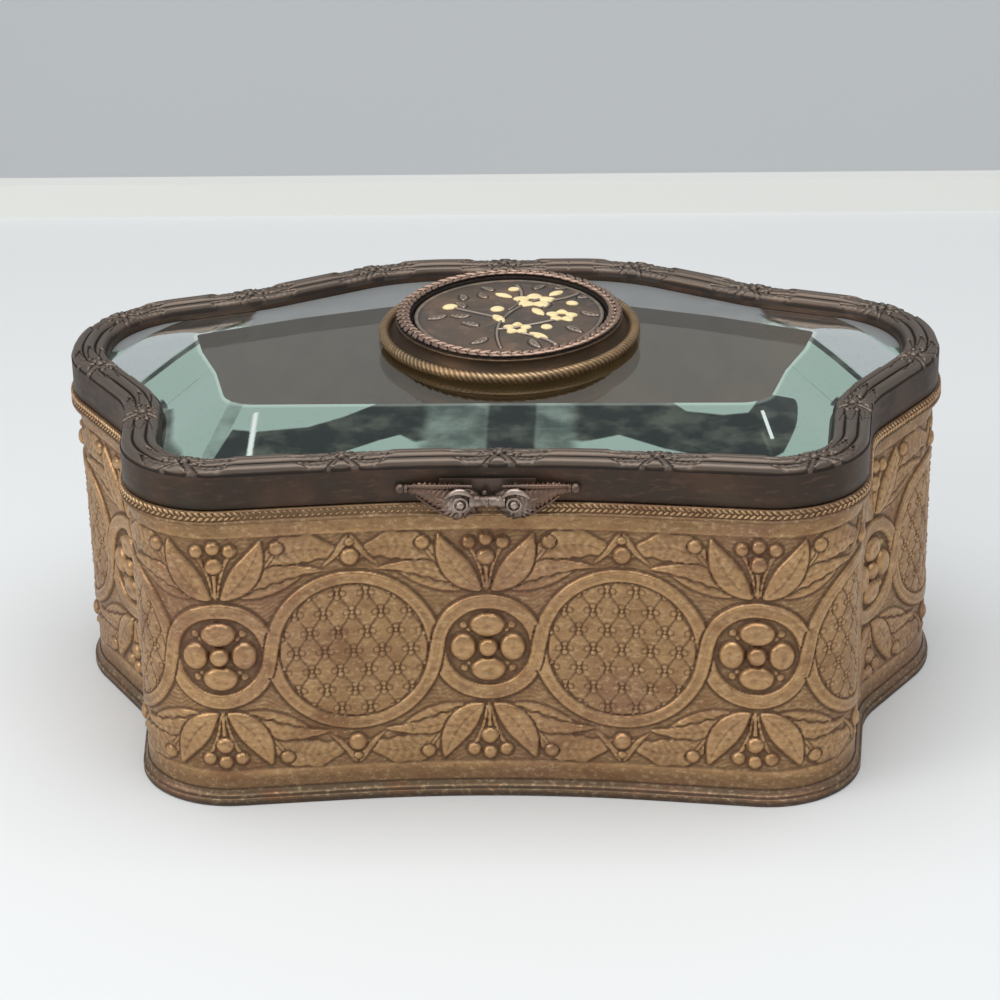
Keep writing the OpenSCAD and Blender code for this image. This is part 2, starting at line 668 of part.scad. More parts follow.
// The pattern's upper edge, the sheet's four edges and the pattern's lower edge, joined in turn
function sheet_faces() =
    let (upper = [for (m = [0 : last()]) for (q = [0 : columns(m) - 1])
             q == 0 ? side_no(m, side_steps) : upper_no(m, q)],
         lower = [for (m = [0 : last()]) for (q = [0 : columns(m) - 1])
             q == 0 ? side_no(m, -side_steps) : lower_no(m, q)],
         edges = [for (e = [0 : 3]) [for (q = [0 : all_columns - 1]) sheet_from + e * all_columns + q]],
         lines = concat([upper], edges, [lower]))
    [for (e = [0 : 4]) for (q = [0 : all_columns - 1]) let (q2 = (q + 1) % all_columns)
        each quad(lines[e][q], lines[e + 1][q], lines[e][q2], lines[e + 1][q2], true)];

module wall_lining() {
    color("#5d4a3c")
        wall(plan, lining_face, lining_out, plate_t, wall_top);
}

module floor_board() {
    color("#5d4a3c")
        sheet(plan, lining_face - nest, plate_t, floor_t);
}

module rim_border() {
    color("#b08b55")
        difference() {
            union() {
                wall(plan, rim_face, rim_out, case_h - rim_h, case_h);
                wall(plan, lining_face, rim_face + stray, wall_top, case_h);
            }
            hinge_room();
        }
}

// Width of the room for the hinge, with the heads of its pin
function room_w() = hinge_w + 2 * (pin_head_l + barrel_room);

module barrel_space() {
    at_hinge()
        bar_x(barrel_r + barrel_room, room_w());
}

// Room for the barrel and the case's leaf, cut out of the rim
module hinge_room() {
    barrel_space();
    translate([-room_w() / 2, back_y - wall_in, case_h - rim_h - past])
        cube([room_w(), wall_in + rim_out + past, rim_h + 2 * past]);
}

// One leaf's knuckles: the even ones, or the odd ones
module knuckle_row(first, extra) {
    pitch = hinge_w / knuckles;
    for (k = [first : 2 : knuckles - 1])
        translate([(k + 0.5) * pitch - hinge_w / 2, 0, 0])
            bar_x(barrel_r + extra, pitch - knuckle_gap + (extra > 0 ? 2 * knuckle_gap : 0));
}

// A leaf's plate, which stands on the plane y and reaches from z0 to z1
module leaf_plate(y, z0, z1) {
    translate([-hinge_w / 2, y, z0])
        cube([hinge_w, leaf_t, z1 - z0]);
}

module rivet_places() {
    for (s = [-1, 1])
        translate([s * hinge_rivets / 2, 0, 0])
            children();
}

module case_rivet_holes(r) {
    translate([0, back_y, case_rivet_z])
        rivet_places()
            cross_hole(r);
}

module lid_rivet_holes(r) {
    translate([0, back_y, lid_rivet_z])
        rivet_places()
            cross_hole(r);
}

// A hole along Y through a wall at y = 0
module cross_hole(r) {
    rotate([90, 0, 0])
        cylinder(r = r, h = 2 * hole_reach, center = true);
}

module hinge_leaf_case() {
    color("#a8894f")
        difference() {
            union() {
                leaf_plate(back_y - wall_in, hinge_z - leaf_case_h, hinge_z);
                at_hinge()
                    knuckle_row(0, 0);
            }
            at_hinge() {
                knuckle_row(1, barrel_room);
                bar_x(pin_r + pin_play, hinge_w + 2 * past);
            }
            case_rivet_holes(hinge_rivet_r + nest);
        }
}

module hinge_leaf_lid() {
    color("#a8894f")
        difference() {
            union() {
                leaf_plate(back_y, hinge_z, hinge_z + leaf_lid_h);
                at_hinge()
                    knuckle_row(1, 0);
            }
            at_hinge() {
                knuckle_row(0, barrel_room);
                bar_x(pin_r + pin_play, hinge_w + 2 * past);
            }
            lid_rivet_holes(hinge_rivet_r + nest);
        }
}

// The pin's ends are spread into low heads
module hinge_pin() {
    half = [
        [pin_r, hinge_w / 2],
        [pin_r + pin_head_w, hinge_w / 2],
        [pin_r + pin_head_w, hinge_w / 2 + pin_head_l / 2],
        [pin_r, hinge_w / 2 + pin_head_l],
        [0, hinge_w / 2 + pin_head_l]
    ];
    color("#8f8f8a")
        at_hinge()
            rotate([0, 90, 0])
                rotate_extrude()
                    polygon(concat(half, [for (k = [4 : -1 : 0]) [half[k][0], -half[k][1]]]));
}

// A rivet along Y: its shank ends at y = 0 and its head lies on y = grip
module rivet(r, grip) {
    rotate([-90, 0, 0])
        rotate_extrude()
            polygon(concat([[0, 0], [r, 0], [r, grip]], [for (p = rivet_head) [0, grip] + p * r]));
}

module hinge_rivets_case() {
    color("#b5965c")
        translate([0, back_y - wall_in - wall_t, case_rivet_z])
            rivet_places()
                rivet(hinge_rivet_r, wall_t + leaf_t);
}

module hinge_rivets_lid() {
    color("#b5965c")
        translate([0, back_y - band_t, lid_rivet_z])
            rivet_places()
                rivet(hinge_rivet_r, band_t + leaf_t);
}

module lid_frame() {
    color("#5c5148")
        difference() {
            along(plan, frame_profile());
            barrel_space();
            lid_rivet_holes(hinge_rivet_r + nest);
            lift_rivet_places()
                cross_hole(lift_rivet_r + nest);
        }
}

// The band and the lip in one angle, with three reeds along the top
function frame_profile() = concat(
    [[-band_t, lid_z], [0, lid_z], [0, band_top]],
    [for (k = [0 : 2]) for (a = reed_angles)
        [reed_r * (cos(a) - reed_start) - k * reed_pitch, band_top + reed_heights[k] + reed_r * sin(a)]],
    [[-frame_w, band_top - reed_r / 3], [-frame_w, lip_z], [-band_t, lip_z]]);

module glass_panel() {
    n = 6;
    c = plan;
    bottom = ring(c, -glass_in, n, glass_z);
    edge = ring(c, -glass_in, n, glass_land);
    land = ring(c, -frame_w - nest, n, glass_land);
    top = ring(flat_top, 0, n, glass_top);
    m = len(bottom);
    color("#a9c2ba", 0.5)
        difference() {
            polyhedron(
                points = concat(bottom, edge, land, top),
                faces = concat(
                    [[for (i = [0 : m - 1]) i]],
                    [for (k = [0 : 2]) for (i = [0 : m - 1])
                        [k * m + i, (k + 1) * m + i, (k + 1) * m + (i + 1) % m, k * m + (i + 1) % m]],
                    [[for (i = [m - 1 : -1 : 0]) 3 * m + i]]
                ));
            at_medallion()
                translate([0, 0, glass_z - past])
                    cylinder(r = stud_r + stud_play, h = glass_t + 2 * past);
        }
}

module glass_retainer() {
    color("#8c744a")
        wall(plan, -retainer_in, -(glass_in - retainer_step), glass_z - retainer_t, glass_z);
}

// Places of the tabs, at the middles of the rounded corners that have room
module retainer_tabs() {
    color("#8c744a")
        for (i = [0, 1, 3, 4, 6, 7, 9, 10, 12])
            tab_at(i);
}

module tab_at(i) {
    t = turn(plan, i);
    a = arc_angle(plan, i) + t / 2;
    m = arc_centre(plan, i);
    share = tab_w / plan[i][2] / PI * 180 / 2;
    translate(m)
        rotate(a - share)
            rotate_extrude(angle = 2 * share)
                translate([plan[i][2], 0])
                    mirror([t < 0 ? 1 : 0, 0])
                        tab_profile();
}

module tab_profile() {
    x = -band_t - nest;
    z = glass_z - retainer_t;
    polygon([
            [x - tab_reach, z - tab_t],
            [x, z - tab_t],
            [x, z + tab_t],
            [x - tab_t, z + tab_t],
            [x - tab_t, z],
            [x - tab_reach, z]
        ]);
}

// The two rivets that hold the thumb lift
module lift_rivet_places() {
    for (s = [-1, 1])
        translate([lift_x + s * lift_pad / 2, -front_mid(), lift_rivet_z])
            children();
}

module thumb_lift() {
    m = arc_centre(plan, 0);
    color("#6b5d50")
        difference() {
            union() {
                difference() {
                    lift_front();
                    translate([lift_x - lobe_x, lift_back, 0])
                        cube([2 * lobe_x, lift_horn_r + past, 2 * band_top]);
                }
                intersection() {
                    translate([lift_x - lift_pad, lift_back - past / 2, lid_z + lift_pad_up])
                        cube([2 * lift_pad, lift_horn_r + past, lift_pad_h]);
                    translate([m[0], m[1], 0])
                        cylinder(r = front_r - nest, h = 2 * band_top, $fn = 720);
                }
            }
            lift_rivet_places()
                rotate([90, 0, 0])
                    cylinder(r = lift_rivet_r + nest, h = 2 * (lift_rivet_l + nest), center = true);
        }
}

// The horns, their scroll eyes, the pearls at their tips and the bar between them
module lift_front() {
    top = lid_z + lift_top;
    z_eye = top - lift_horn_r;
    z_tip = top - lift_tip_r;
    translate([lift_x, lift_axis, 0]) {
        for (s = [-1, 1])
            translate([s * lift_eyes / 2, 0, z_eye]) {
                sphere(r = lift_horn_r);
                rotate([0, s * (90 - atan2(z_tip - z_eye, lift_horn_l)), 0])
                    cylinder(r1 = lift_horn_r, r2 = lift_tip_r, h = norm([lift_horn_l, z_tip - z_eye]));
                translate([s * lift_horn_l, 0, z_tip - z_eye])
                    sphere(r = pearl_r);
                rotate([90, 0, 0])
                    cylinder(r = eye_r, h = lift_horn_r + eye_rise);
            }
        translate([0, 0, z_eye + lift_bar_r / 2])
            bar_x(lift_bar_r, lift_eyes);
    }
}

module lift_rivets() {
    color("#6b5d50")
        lift_rivet_places()
            translate([0, -lift_rivet_l, 0])
                rivet(lift_rivet_r, lift_rivet_l + band_t + lift_sag);
}

// The dish rises from the rope to the rim that carries the wreath
module medallion_dish() {
    x1 = -2 * rope_r - nest;
    x2 = -wreath_in;
    x3 = -(wreath_in + wreath_w);
    x4 = plaque_edge - dish_t;
    color("#6e4a30")
        at_medallion() {
            along(medal, [
                    [x1, glass_top],
                    [x1, glass_top + dish_h / 3],
                    [x2, wreath_z],
                    [x3, wreath_z],
                    [x3, plaque_z],
                    [x4, plaque_z],
                    [x4, plaque_z - dish_t],
                    [x3 + dish_t, plaque_z - dish_t],
                    [x1 - dish_t, glass_top]
                ]);
            sheet(medal, x4 + nest, plaque_z - dish_t, dish_t);
        }
}

module medallion_rope() {
    color("#8a6544")
        at_medallion()
            along(medal, round_profile(-rope_r, rope_z, rope_r, -90, 270 - 360 / round_points, round_points - 1));
}

module medallion_wreath() {
    color("#5a4230")
        at_medallion()
            along(medal, round_profile(-wreath_in - wreath_w / 2, wreath_z, wreath_w / 2, 0, 180, round_points - 1));
}

module medallion_plaque() {
    color("#4a3a2c")
        at_medallion()
            intersection() {
                sheet(medal, plaque_edge, plaque_z, plaque_t + 4);
                plaque_ball(0);
            }
}

// The ball whose top is the plaque's domed face
module plaque_ball(extra) {
    drop = plaque_dome_r - sqrt(pow(plaque_dome_r, 2) - pow(medal_a + plaque_edge, 2));
    translate([0, 0, plaque_z + plaque_t + drop - plaque_dome_r])
        sphere(r = plaque_dome_r + extra, $fn = 360);
}

module medallion_inlays() {
    color("#efe3b8")
        at_medallion()
            difference() {
                intersection() {
                    plaque_ball(inlay_h);
                    translate([0, 0, plaque_z])
                        linear_extrude(plaque_t + 6)
                            spray();
                }
                plaque_ball(nest);
            }
}

// A spray of blossoms, buds and leaves, mostly right of the middle
module spray() {
    scale((medal_a + plaque_edge) / spray_units) {
        for (p = blossoms)
            translate([p[0], p[1]])
                blossom(p[2]);
        for (p = buds)
            translate([p[0], p[1]])
                circle(r = p[2]);
        for (p = leaves)
            translate([p[0], p[1]])
                rotate(p[2])
                    leaf();
    }
}

module blossom(r) {
    for (k = [0 : petals - 1])
        rotate(360 * k / petals + 18)
            translate([r * 0.6, 0])
                circle(r = r * 0.38);
}

// A pointed leaf between two arcs
module leaf() {
    r = (pow(leaf_l / 2, 2) + pow(leaf_w / 2, 2)) / leaf_w;
    intersection_for (s = [-1, 1])
        translate([0, s * (r - leaf_w / 2)])
            circle(r = r);
}

module medallion_stud() {
    color("#8a7a58")
        at_medallion()
            translate([0, 0, glass_z - stud_l])
                cylinder(r = stud_r, h = stud_l + glass_t + dish_h - plaque_t - dish_t);
}

module medallion_washer() {
    color("#9a8450")
        at_medallion()
            translate([0, 0, glass_z - washer_t])
                difference() {
                    cylinder(r = washer_r, h = washer_t);
                    translate([0, 0, -past])
                        cylinder(r = stud_r + nest, h = washer_t + 2 * past);
                }
}

module medallion_nut() {
    color("#9a8450")
        at_medallion()
            translate([0, 0, glass_z - washer_t - nut_h])
                difference() {
                    cylinder(r = nut_w / sqrt(3), h = nut_h, $fn = 6);
                    translate([0, 0, -past])
                        cylinder(r = stud_r + nest, h = nut_h + 2 * past);
                }
}

placed() base_plate();
placed() base_moulding();
placed() side_wall();
placed() wall_lining();
placed() floor_board();
placed() rim_border();
placed() hinge_leaf_case();
placed() hinge_pin();
placed() hinge_rivets_case();
placed() lid_frame();
placed() glass_panel();
placed() glass_retainer();
placed() retainer_tabs();
placed() thumb_lift();
placed() lift_rivets();
placed() hinge_leaf_lid();
placed() hinge_rivets_lid();
placed() medallion_dish();
placed() medallion_rope();
placed() medallion_wreath();
placed() medallion_plaque();
placed() medallion_inlays();
placed() medallion_stud();
placed() medallion_washer();
placed() medallion_nut();
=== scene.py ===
import math

import bpy
import numpy as np
from mathutils import Matrix, Vector


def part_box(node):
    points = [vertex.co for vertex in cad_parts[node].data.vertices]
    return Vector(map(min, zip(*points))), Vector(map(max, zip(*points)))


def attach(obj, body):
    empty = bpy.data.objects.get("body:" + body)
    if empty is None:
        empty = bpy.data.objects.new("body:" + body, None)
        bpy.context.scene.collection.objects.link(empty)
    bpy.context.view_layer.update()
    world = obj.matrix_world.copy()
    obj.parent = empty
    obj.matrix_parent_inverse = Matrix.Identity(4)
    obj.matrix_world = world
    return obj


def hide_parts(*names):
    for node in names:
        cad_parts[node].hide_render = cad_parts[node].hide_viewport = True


# A keepsake casket of stamped gilt brass, with a bevelled glass lid. Lengths are millimetres until a mesh
# is made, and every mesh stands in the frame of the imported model.
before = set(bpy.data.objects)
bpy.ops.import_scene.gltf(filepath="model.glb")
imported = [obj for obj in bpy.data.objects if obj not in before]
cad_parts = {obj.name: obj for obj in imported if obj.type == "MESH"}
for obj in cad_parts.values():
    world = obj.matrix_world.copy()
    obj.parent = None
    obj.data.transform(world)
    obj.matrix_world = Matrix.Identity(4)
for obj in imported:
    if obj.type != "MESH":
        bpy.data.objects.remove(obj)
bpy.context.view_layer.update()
MM = 0.001


def node_box(name):
    """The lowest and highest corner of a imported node, in millimetres."""
    low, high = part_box(name)
    return np.array(low) / MM, np.array(high) / MM


# The lid's outline as (x, y, radius) corners of its right half, from the middle of the front
HALF_PLAN = [(0, -54, 250), (69.5, -62.3, 19), (73.5, -24.5, 20), (90, 1, 25),
             (89, 28.5, 27), (55.5, 41.5, 28), (26, 60, 42)]
# The glass's flat top in the same way
HALF_FLAT = [(0, -27, 2000), (53, -27.3, 7), (57.3, -10, 10), (61.8, 2, 10),
             (64.3, 12, 1.2), (44, 21.5, 30), (22, 29.5, 25)]
BACK_Y = 60
SHIFT_Y = node_box("lid_frame")[1][1] - BACK_Y

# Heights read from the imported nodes
PLATE_TOP = node_box("base_plate")[1][2]
FOOT_TOP = node_box("base_moulding")[1][2]
WALL_TOP = node_box("side_wall")[1][2]
RIM_BOTTOM, RIM_TOP = node_box("rim_border")[0][2], node_box("rim_border")[1][2]
LID_BOTTOM = node_box("lid_frame")[0][2]
GLASS_BOTTOM, GLASS_TOP = node_box("glass_panel")[0][2], node_box("glass_panel")[1][2]
GLASS_LAND = GLASS_BOTTOM + 3.3
BAND_TOP = LID_BOTTOM + 6.8
LIP_BOTTOM = BAND_TOP - 1.5
HINGE_HALF = node_box("hinge_leaf_case")[1][0]
PIN_END = node_box("hinge_pin")[1][0]
BARREL_Z = np.mean(np.array(node_box("hinge_pin")), axis=0)[2]

# Distances outside the lid's outline
WALL_OUT = -1.2
WALL_BACK = -1.9
LINING_OUT = -3.9
RIM_OUT = 0.7
BAND_IN = -1.4
GLASS_OUT = -3
FRAME_IN = -7.6
STUD_PLAY = 0.5
PLAQUE_OUT = -7.5

# The medallion's middle, its half width and depth, and how far its end arcs' centres lie from its middle
MEDAL_AT = np.mean(np.array(node_box("medallion_stud")), axis=0)[:2]
MEDAL_HALF = (27.2, 30)
MEDAL_ENDS = 6


class Field:
    """A socket whose sums and products add Math nodes."""

    def __init__(self, nodes, socket):
        self.nodes = nodes
        self.socket = socket

    def maths(self, operation, *values):
        return self.nodes.add("ShaderNodeMath", {"operation": operation}, dict(enumerate(values)))[0]

    def __add__(self, other):
        return self.maths("ADD", self, other)

    def __radd__(self, other):
        return self.maths("ADD", other, self)

    def __sub__(self, other):
        return self.maths("SUBTRACT", self, other)

    def __rsub__(self, other):
        return self.maths("SUBTRACT", other, self)

    def __mul__(self, other):
        return self.maths("MULTIPLY", self, other)

    def __rmul__(self, other):
        return self.maths("MULTIPLY", other, self)

    def most(self, other):
        return self.maths("MAXIMUM", self, other)

    def between(self, low, high):
        """Smooth step: 0 below low and 1 above high, or the other way round."""
        return self.nodes.add("ShaderNodeMapRange", {"interpolation_type": "SMOOTHSTEP"},
                              {"Value": self, "From Min": low, "From Max": high})["Result"]


class Made:
    """A node that was added: its outputs are read by name or number."""

    def __init__(self, nodes, node):
        self.nodes = nodes
        self.node = node

    def __getitem__(self, key):
        return Field(self.nodes, self.node.outputs[key])


class Nodes:
    """Adds nodes to one tree: their settings first, then the values or links of their sockets."""

    def __init__(self, tree):
        self.tree = tree

    def add(self, kind, settings=None, inputs=None):
        node = self.tree.nodes.new(kind)
        for key, value in (settings or {}).items():
            setattr(node, key, value)
        for key, value in (inputs or {}).items():
            if isinstance(value, Field):
                self.tree.links.new(value.socket, node.inputs[key])
            else:
                node.inputs[key].default_value = value
        return Made(self, node)

    def mix(self, factor, a, b):
        """A colour between a and b. Sockets 6, 7 and 2 are the Mix node's own colours and result."""
        first, second = (end if isinstance(end, Field) else (*end, 1) for end in (a, b))
        return self.add("ShaderNodeMix", {"data_type": "RGBA"}, {0: factor, 6: first, 7: second})[2]

    def mark(self, key):
        """The numbers that a piece carries at its points under a name."""
        return self.add("ShaderNodeAttribute", {"attribute_name": key})["Fac"]

    def noise(self, place, scale, detail=3.0, roughness=0.5):
        return self.add("ShaderNodeTexNoise", None,
                        {"Vector": place, "Scale": scale, "Detail": detail, "Roughness": roughness})["Fac"]

    def stretched(self, place, scale):
        """Coordinates scaled by a different amount along each axis."""
        return self.add("ShaderNodeMapping", None, {"Vector": place, "Scale": scale})["Vector"]


def srgb(red, green, blue):
    """A screen colour from 0 to 255 as the linear values that a shader takes."""
    def linear(value):
        share = value / 255
        return share / 12.92 if share <= 0.04045 else ((share + 0.055) / 1.055) ** 2.4
    return linear(red), linear(green), linear(blue)


def new_material(name):
    """An empty material, what adds its nodes, and its Object coordinates."""
    made = bpy.data.materials.new(name)
    made.use_nodes = True
    made.node_tree.nodes.clear()
    nodes = Nodes(made.node_tree)
    return made, nodes, nodes.add("ShaderNodeTexCoord")["Object"]


def material(name, build, **fixed):
    """A Principled material: build returns the varying sockets, fixed holds the constant ones."""
    made, nodes, place = new_material(name)
    varying = build(nodes, place)
    shader = nodes.add("ShaderNodeBsdfPrincipled", None, {**fixed, **varying})["BSDF"]
    nodes.add("ShaderNodeOutputMaterial", None, {"Surface": shader})
    return made


def bump(nodes, height, strength, depth):
    """A normal from a height between 0 and 1, whose full rise is depth millimetres."""
    return nodes.add("ShaderNodeBump", None,
                     {"Height": height, "Strength": strength, "Distance": depth * MM})["Normal"]


def unit(angle):
    """The direction in plan at an angle, or at each of several."""
    return np.stack([np.cos(angle), np.sin(angle)], axis=-1)


def outward_of(heading):
    """The direction to the right of a heading, which is outwards on a line walked anticlockwise."""
    return np.array([math.sin(heading), -math.cos(heading)])


class Outline:
    """A closed outline with rounded corners, walked anticlockwise from the middle of its first corner.
    Distances along it are measured at a given distance outside it."""

    def __init__(self, corners, out):
        points = np.array([c[:2] for c in corners], float)
        radii = np.array([c[2] for c in corners], float)
        side = np.roll(points, -1, axis=0) - points
        heading_out = np.arctan2(side[:, 1], side[:, 0])
        heading_in = np.roll(heading_out, 1)
        turns = (heading_out - heading_in + np.pi) % (2 * np.pi) - np.pi
        reach = radii * np.tan(np.abs(turns) / 2)
        starts = points - reach[:, None] * unit(heading_in)
        ends = points + reach[:, None] * unit(heading_out)
        bends = radii * np.sign(turns)
        middle = heading_in[0] + turns[0] / 2
        first = starts[0] + bends[0] * (outward_of(middle) - outward_of(heading_in[0]))
        parts = [(first, middle, bends[0], turns[0] / 2)]
        for i in range(len(points)):
            j = (i + 1) % len(points)
            parts.append((ends[i], heading_out[i], 0, np.linalg.norm(starts[j] - ends[i])))
            parts.append((starts[j], heading_in[j], bends[j], turns[j] if j else turns[j] / 2))
        self.starts = np.array([p[0] for p in parts])
        self.headings = np.array([p[1] for p in parts])
        self.bends = np.array([p[2] for p in parts])
        self.turns = np.where(self.bends != 0, [p[3] for p in parts], 0)
        self.lengths = np.where(self.bends != 0, np.abs(self.turns) * np.abs(self.bends + out),
                                [p[3] for p in parts])
        self.begins = np.concatenate([[0], np.cumsum(self.lengths)[:-1]])
        self.length = self.lengths.sum()

    def stops(self, count):
        """Evenly spaced distances all round."""
        return np.linspace(0, self.length, count, endpoint=False)

    def at(self, distance):
        """Points on the outline itself, and its outward directions, at distances along it."""
        distance = np.mod(distance, self.length)
        k = np.searchsorted(self.begins, distance, side="right") - 1
        local = distance - self.begins[k]
        heading = self.headings[k]
        angle = heading + self.turns[k] * local / self.lengths[k]
        first = np.stack([np.sin(heading), -np.cos(heading)], axis=-1)
        outward = np.stack([np.sin(angle), -np.cos(angle)], axis=-1)
        straight = np.where(self.bends[k] == 0, local, 0)[:, None] * unit(heading)
        return self.starts[k] + self.bends[k][:, None] * (outward - first) + straight, outward


def both_halves(half):
    """All corners of an outline, from the half that starts on the middle line."""
    return half + [(-x, y, r) for x, y, r in half[:0:-1]]


def shifted(corners, x, y):
    """The corners moved along X and Y."""
    return [(c[0] + x, c[1] + y, c[2]) for c in corners]


PLAN = shifted(both_halves(HALF_PLAN), 0, SHIFT_Y)
FLAT = shifted(both_halves(HALF_FLAT), 0, SHIFT_Y)


def oval(half_width, half_depth, ends):
    """The corners of the four-centre oval round the medallion's middle."""
    sides = (ends ** 2 - (half_depth - half_width - ends) ** 2) / (2 * (ends - half_depth + half_width))
    turn = math.atan2(ends, sides)
    x = (half_width + sides) / math.cos(turn) - sides
    y = (half_depth - ends) / math.sin(turn) + ends
    corners = [(0, -y, half_depth - ends), (x, 0, half_width + sides),
               (0, y, half_depth - ends), (-x, 0, half_width + sides)]
    return shifted(corners, *MEDAL_AT)


MEDAL_LINE = Outline(oval(*MEDAL_HALF, MEDAL_ENDS), PLAQUE_OUT / 2)
WALL_LINE = Outline(PLAN, WALL_OUT)
FRAME_LINE = Outline(PLAN, FRAME_IN / 2)


# The nodes that are dressed anew: the body that each rides on, and the record's slot for its finish
DRESSED = {
    "base_moulding": ("case", "gilt_brass"), "side_wall": ("case", "gilt_brass"),
    "rim_border": ("case", "gilt_brass"), "wall_lining": ("case", "taupe_velvet"),
    "floor_board": ("case", "taupe_velvet"), "lid_frame": ("lid", "dark_bronze"),
    "glass_panel": ("lid", "bevelled_glass"), "thumb_lift": ("lid", "dark_bronze"),
    "medallion_dish": ("lid", "copper_bronze"), "medallion_rope": ("lid", "copper_bronze"),
    "medallion_wreath": ("lid", "dark_bronze"), "medallion_plaque": ("lid", "plaque_bronze"),
    "medallion_inlays": ("lid", "ivory_inlay")}


def in_scene(made):
    """An object, once it is linked to the scene."""
    bpy.context.scene.collection.objects.link(made)
    return made


def new_object(name, points, faces, marks=None):
    """An object from points in millimetres. marks are numbers at its points, by name."""
    mesh = bpy.data.meshes.new(name)
    mesh.from_pydata((np.asarray(points, float).reshape(-1, 3) * MM).tolist(), [],
                     [list(map(int, face)) for face in faces])
    for key, numbers in (marks or {}).items():
        mesh.attributes.new(key, "FLOAT", "POINT").data.foreach_set(
            "value", np.asarray(numbers, np.float32).ravel())
    mesh.shade_smooth()
    return in_scene(bpy.data.objects.new(name, mesh))


def settle(piece, node):
    """The piece stands for a node: it rides on that node's body, and the node is hidden."""
    body, slot = DRESSED[node]
    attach(piece, body)
    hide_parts(node)


def new_piece(name, node, points, faces, finish, sharp=40, marks=None):
    """A piece that stands for a node, with edges sharper than an angle in degrees kept crisp."""
    piece = new_object(name, points, faces, marks)
    piece.data.set_sharp_from_angle(angle=math.radians(sharp))
    piece.data.materials.append(finish)
    settle(piece, node)
    return piece


def ring_faces(columns, rows, closed=True):
    """Quads of a sweep whose section is a closed loop, walked anticlockwise like its outline."""
    j = np.arange(columns if closed else columns - 1)[:, None] * rows
    j2 = (j + rows) % (columns * rows)
    k = np.arange(rows)[None, :]
    k2 = (k + 1) % rows
    return np.stack([j + k, j2 + k, j2 + k2, j + k2], axis=-1).reshape(-1, 4)


def strip_faces(columns, rows):
    """The faces of an open sweep or loft, with a flat face at each of its two ends."""
    ends = [list(range(rows)), [(columns - 1) * rows + k for k in range(rows)][::-1]]
    return [*ring_faces(columns, rows, closed=False), *ends]


def tube_faces(count, loops):
    """Quads between closed lines of equally many points, and between the last line and the first."""
    j = np.arange(count)[None, :]
    j2 = (j + 1) % count
    k = np.arange(loops)[:, None] * count
    k2 = (k + count) % (loops * count)
    return np.stack([k + j, k + j2, k2 + j2, k2 + j], axis=-1).reshape(-1, 4)


def sweep_points(outline, stops, section):
    """Points of a section of [distance outside, height], one for all columns or one for each."""
    base, outward = outline.at(stops)
    section = np.broadcast_to(section, (len(stops), *np.shape(section)[-2:]))
    flat = base[:, None, :] + outward[:, None, :] * section[:, :, :1]
    return np.concatenate([flat, section[:, :, 1:]], axis=-1)


def new_sweep(name, node, line, stops, section, finish, sharp=40, marks=None):
    """A piece whose closed section runs all round a line."""
    faces = ring_faces(len(stops), np.shape(section)[-2])
    return new_piece(name, node, sweep_points(line, stops, section), faces, finish, sharp, marks)


def raised(plan, height):
    """Points in plan, raised to a height."""
    return np.column_stack([plan, np.full(len(plan), height)])


def closed_loft(loops):
    """A closed shape through loops of equally many points, with flat ends."""
    return np.reshape(loops, (-1, 3)), strip_faces(len(loops), len(loops[0]))


def joined(parts):
    """Several shapes as one."""
    points = np.concatenate([part[0] for part in parts])
    starts = np.cumsum([0] + [len(part[0]) for part in parts])
    return points, [[start + k for k in face] for start, part in zip(starts, parts) for face in part[1]]


def egg(middle, size, sides=12, rows=7):
    """An egg with half sizes along X, Y and Z."""
    turn = np.linspace(0, 2 * np.pi, sides, endpoint=False)
    tilt = np.radians(np.linspace(-82, 82, rows))[:, None]
    loops = np.stack([np.cos(tilt) * np.cos(turn), -np.cos(tilt) * np.sin(turn),
                      np.sin(tilt) + 0 * turn], axis=-1)
    return closed_loft(loops * size + middle)


def arc(x, z, radius, start, end, count):
    """Points of an arc in a section, from one angle to another in degrees."""
    angle = np.radians(np.linspace(start, end, count))
    return [(x + radius * math.cos(a), z + radius * math.sin(a)) for a in angle]


def ease(share):
    """Smooth step from 0 to 1."""
    share = np.clip(share, 0, 1)
    return share * share * (3 - 2 * share)


def heading_of(outward):
    """The direction in which an outline runs on, from its outward directions."""
    return np.arctan2(outward[:, 0], -outward[:, 1])


def row_of_forms():
    """A node tree that places copies of one form at points, by the turn, lean and size marked on them."""
    tree = bpy.data.node_groups.new("row_of_forms", "GeometryNodeTree")
    for key, kind in (("Places", "Geometry"), ("Form", "Object"), ("Unevenness", "Float"), ("Seed", "Int"),
                      ("Finish", "Material")):
        tree.interface.new_socket(key, in_out="INPUT", socket_type="NodeSocket" + kind)
    tree.interface.new_socket("Row", in_out="OUTPUT", socket_type="NodeSocketGeometry")
    nodes = Nodes(tree)
    given = nodes.add("NodeGroupInput")
    turn, lean, size = (
        nodes.add("GeometryNodeInputNamedAttribute", {"data_type": "FLOAT"}, {"Name": key})["Attribute"]
        for key in ("turn", "lean", "size"))
    luck = nodes.add("FunctionNodeRandomValue", {"data_type": "FLOAT"},
                     {2: 1 - given["Unevenness"], 3: 1 + given["Unevenness"], "Seed": given["Seed"]})[1]
    form = nodes.add("GeometryNodeObjectInfo", {"transform_space": "ORIGINAL"}, {"Object": given["Form"]})
    turned = nodes.add("ShaderNodeCombineXYZ", None, {"Y": lean, "Z": turn})["Vector"]
    copies = nodes.add("GeometryNodeInstanceOnPoints", None, {
        "Points": given["Places"], "Instance": form["Geometry"], "Rotation": turned, "Scale": size * luck})
    real = nodes.add("GeometryNodeRealizeInstances", None, {"Geometry": copies["Instances"]})
    finished = nodes.add("GeometryNodeSetMaterial", None,
                         {"Geometry": real["Geometry"], "Material": given["Finish"]})
    nodes.add("NodeGroupOutput", None, {"Row": finished["Geometry"]})
    return tree


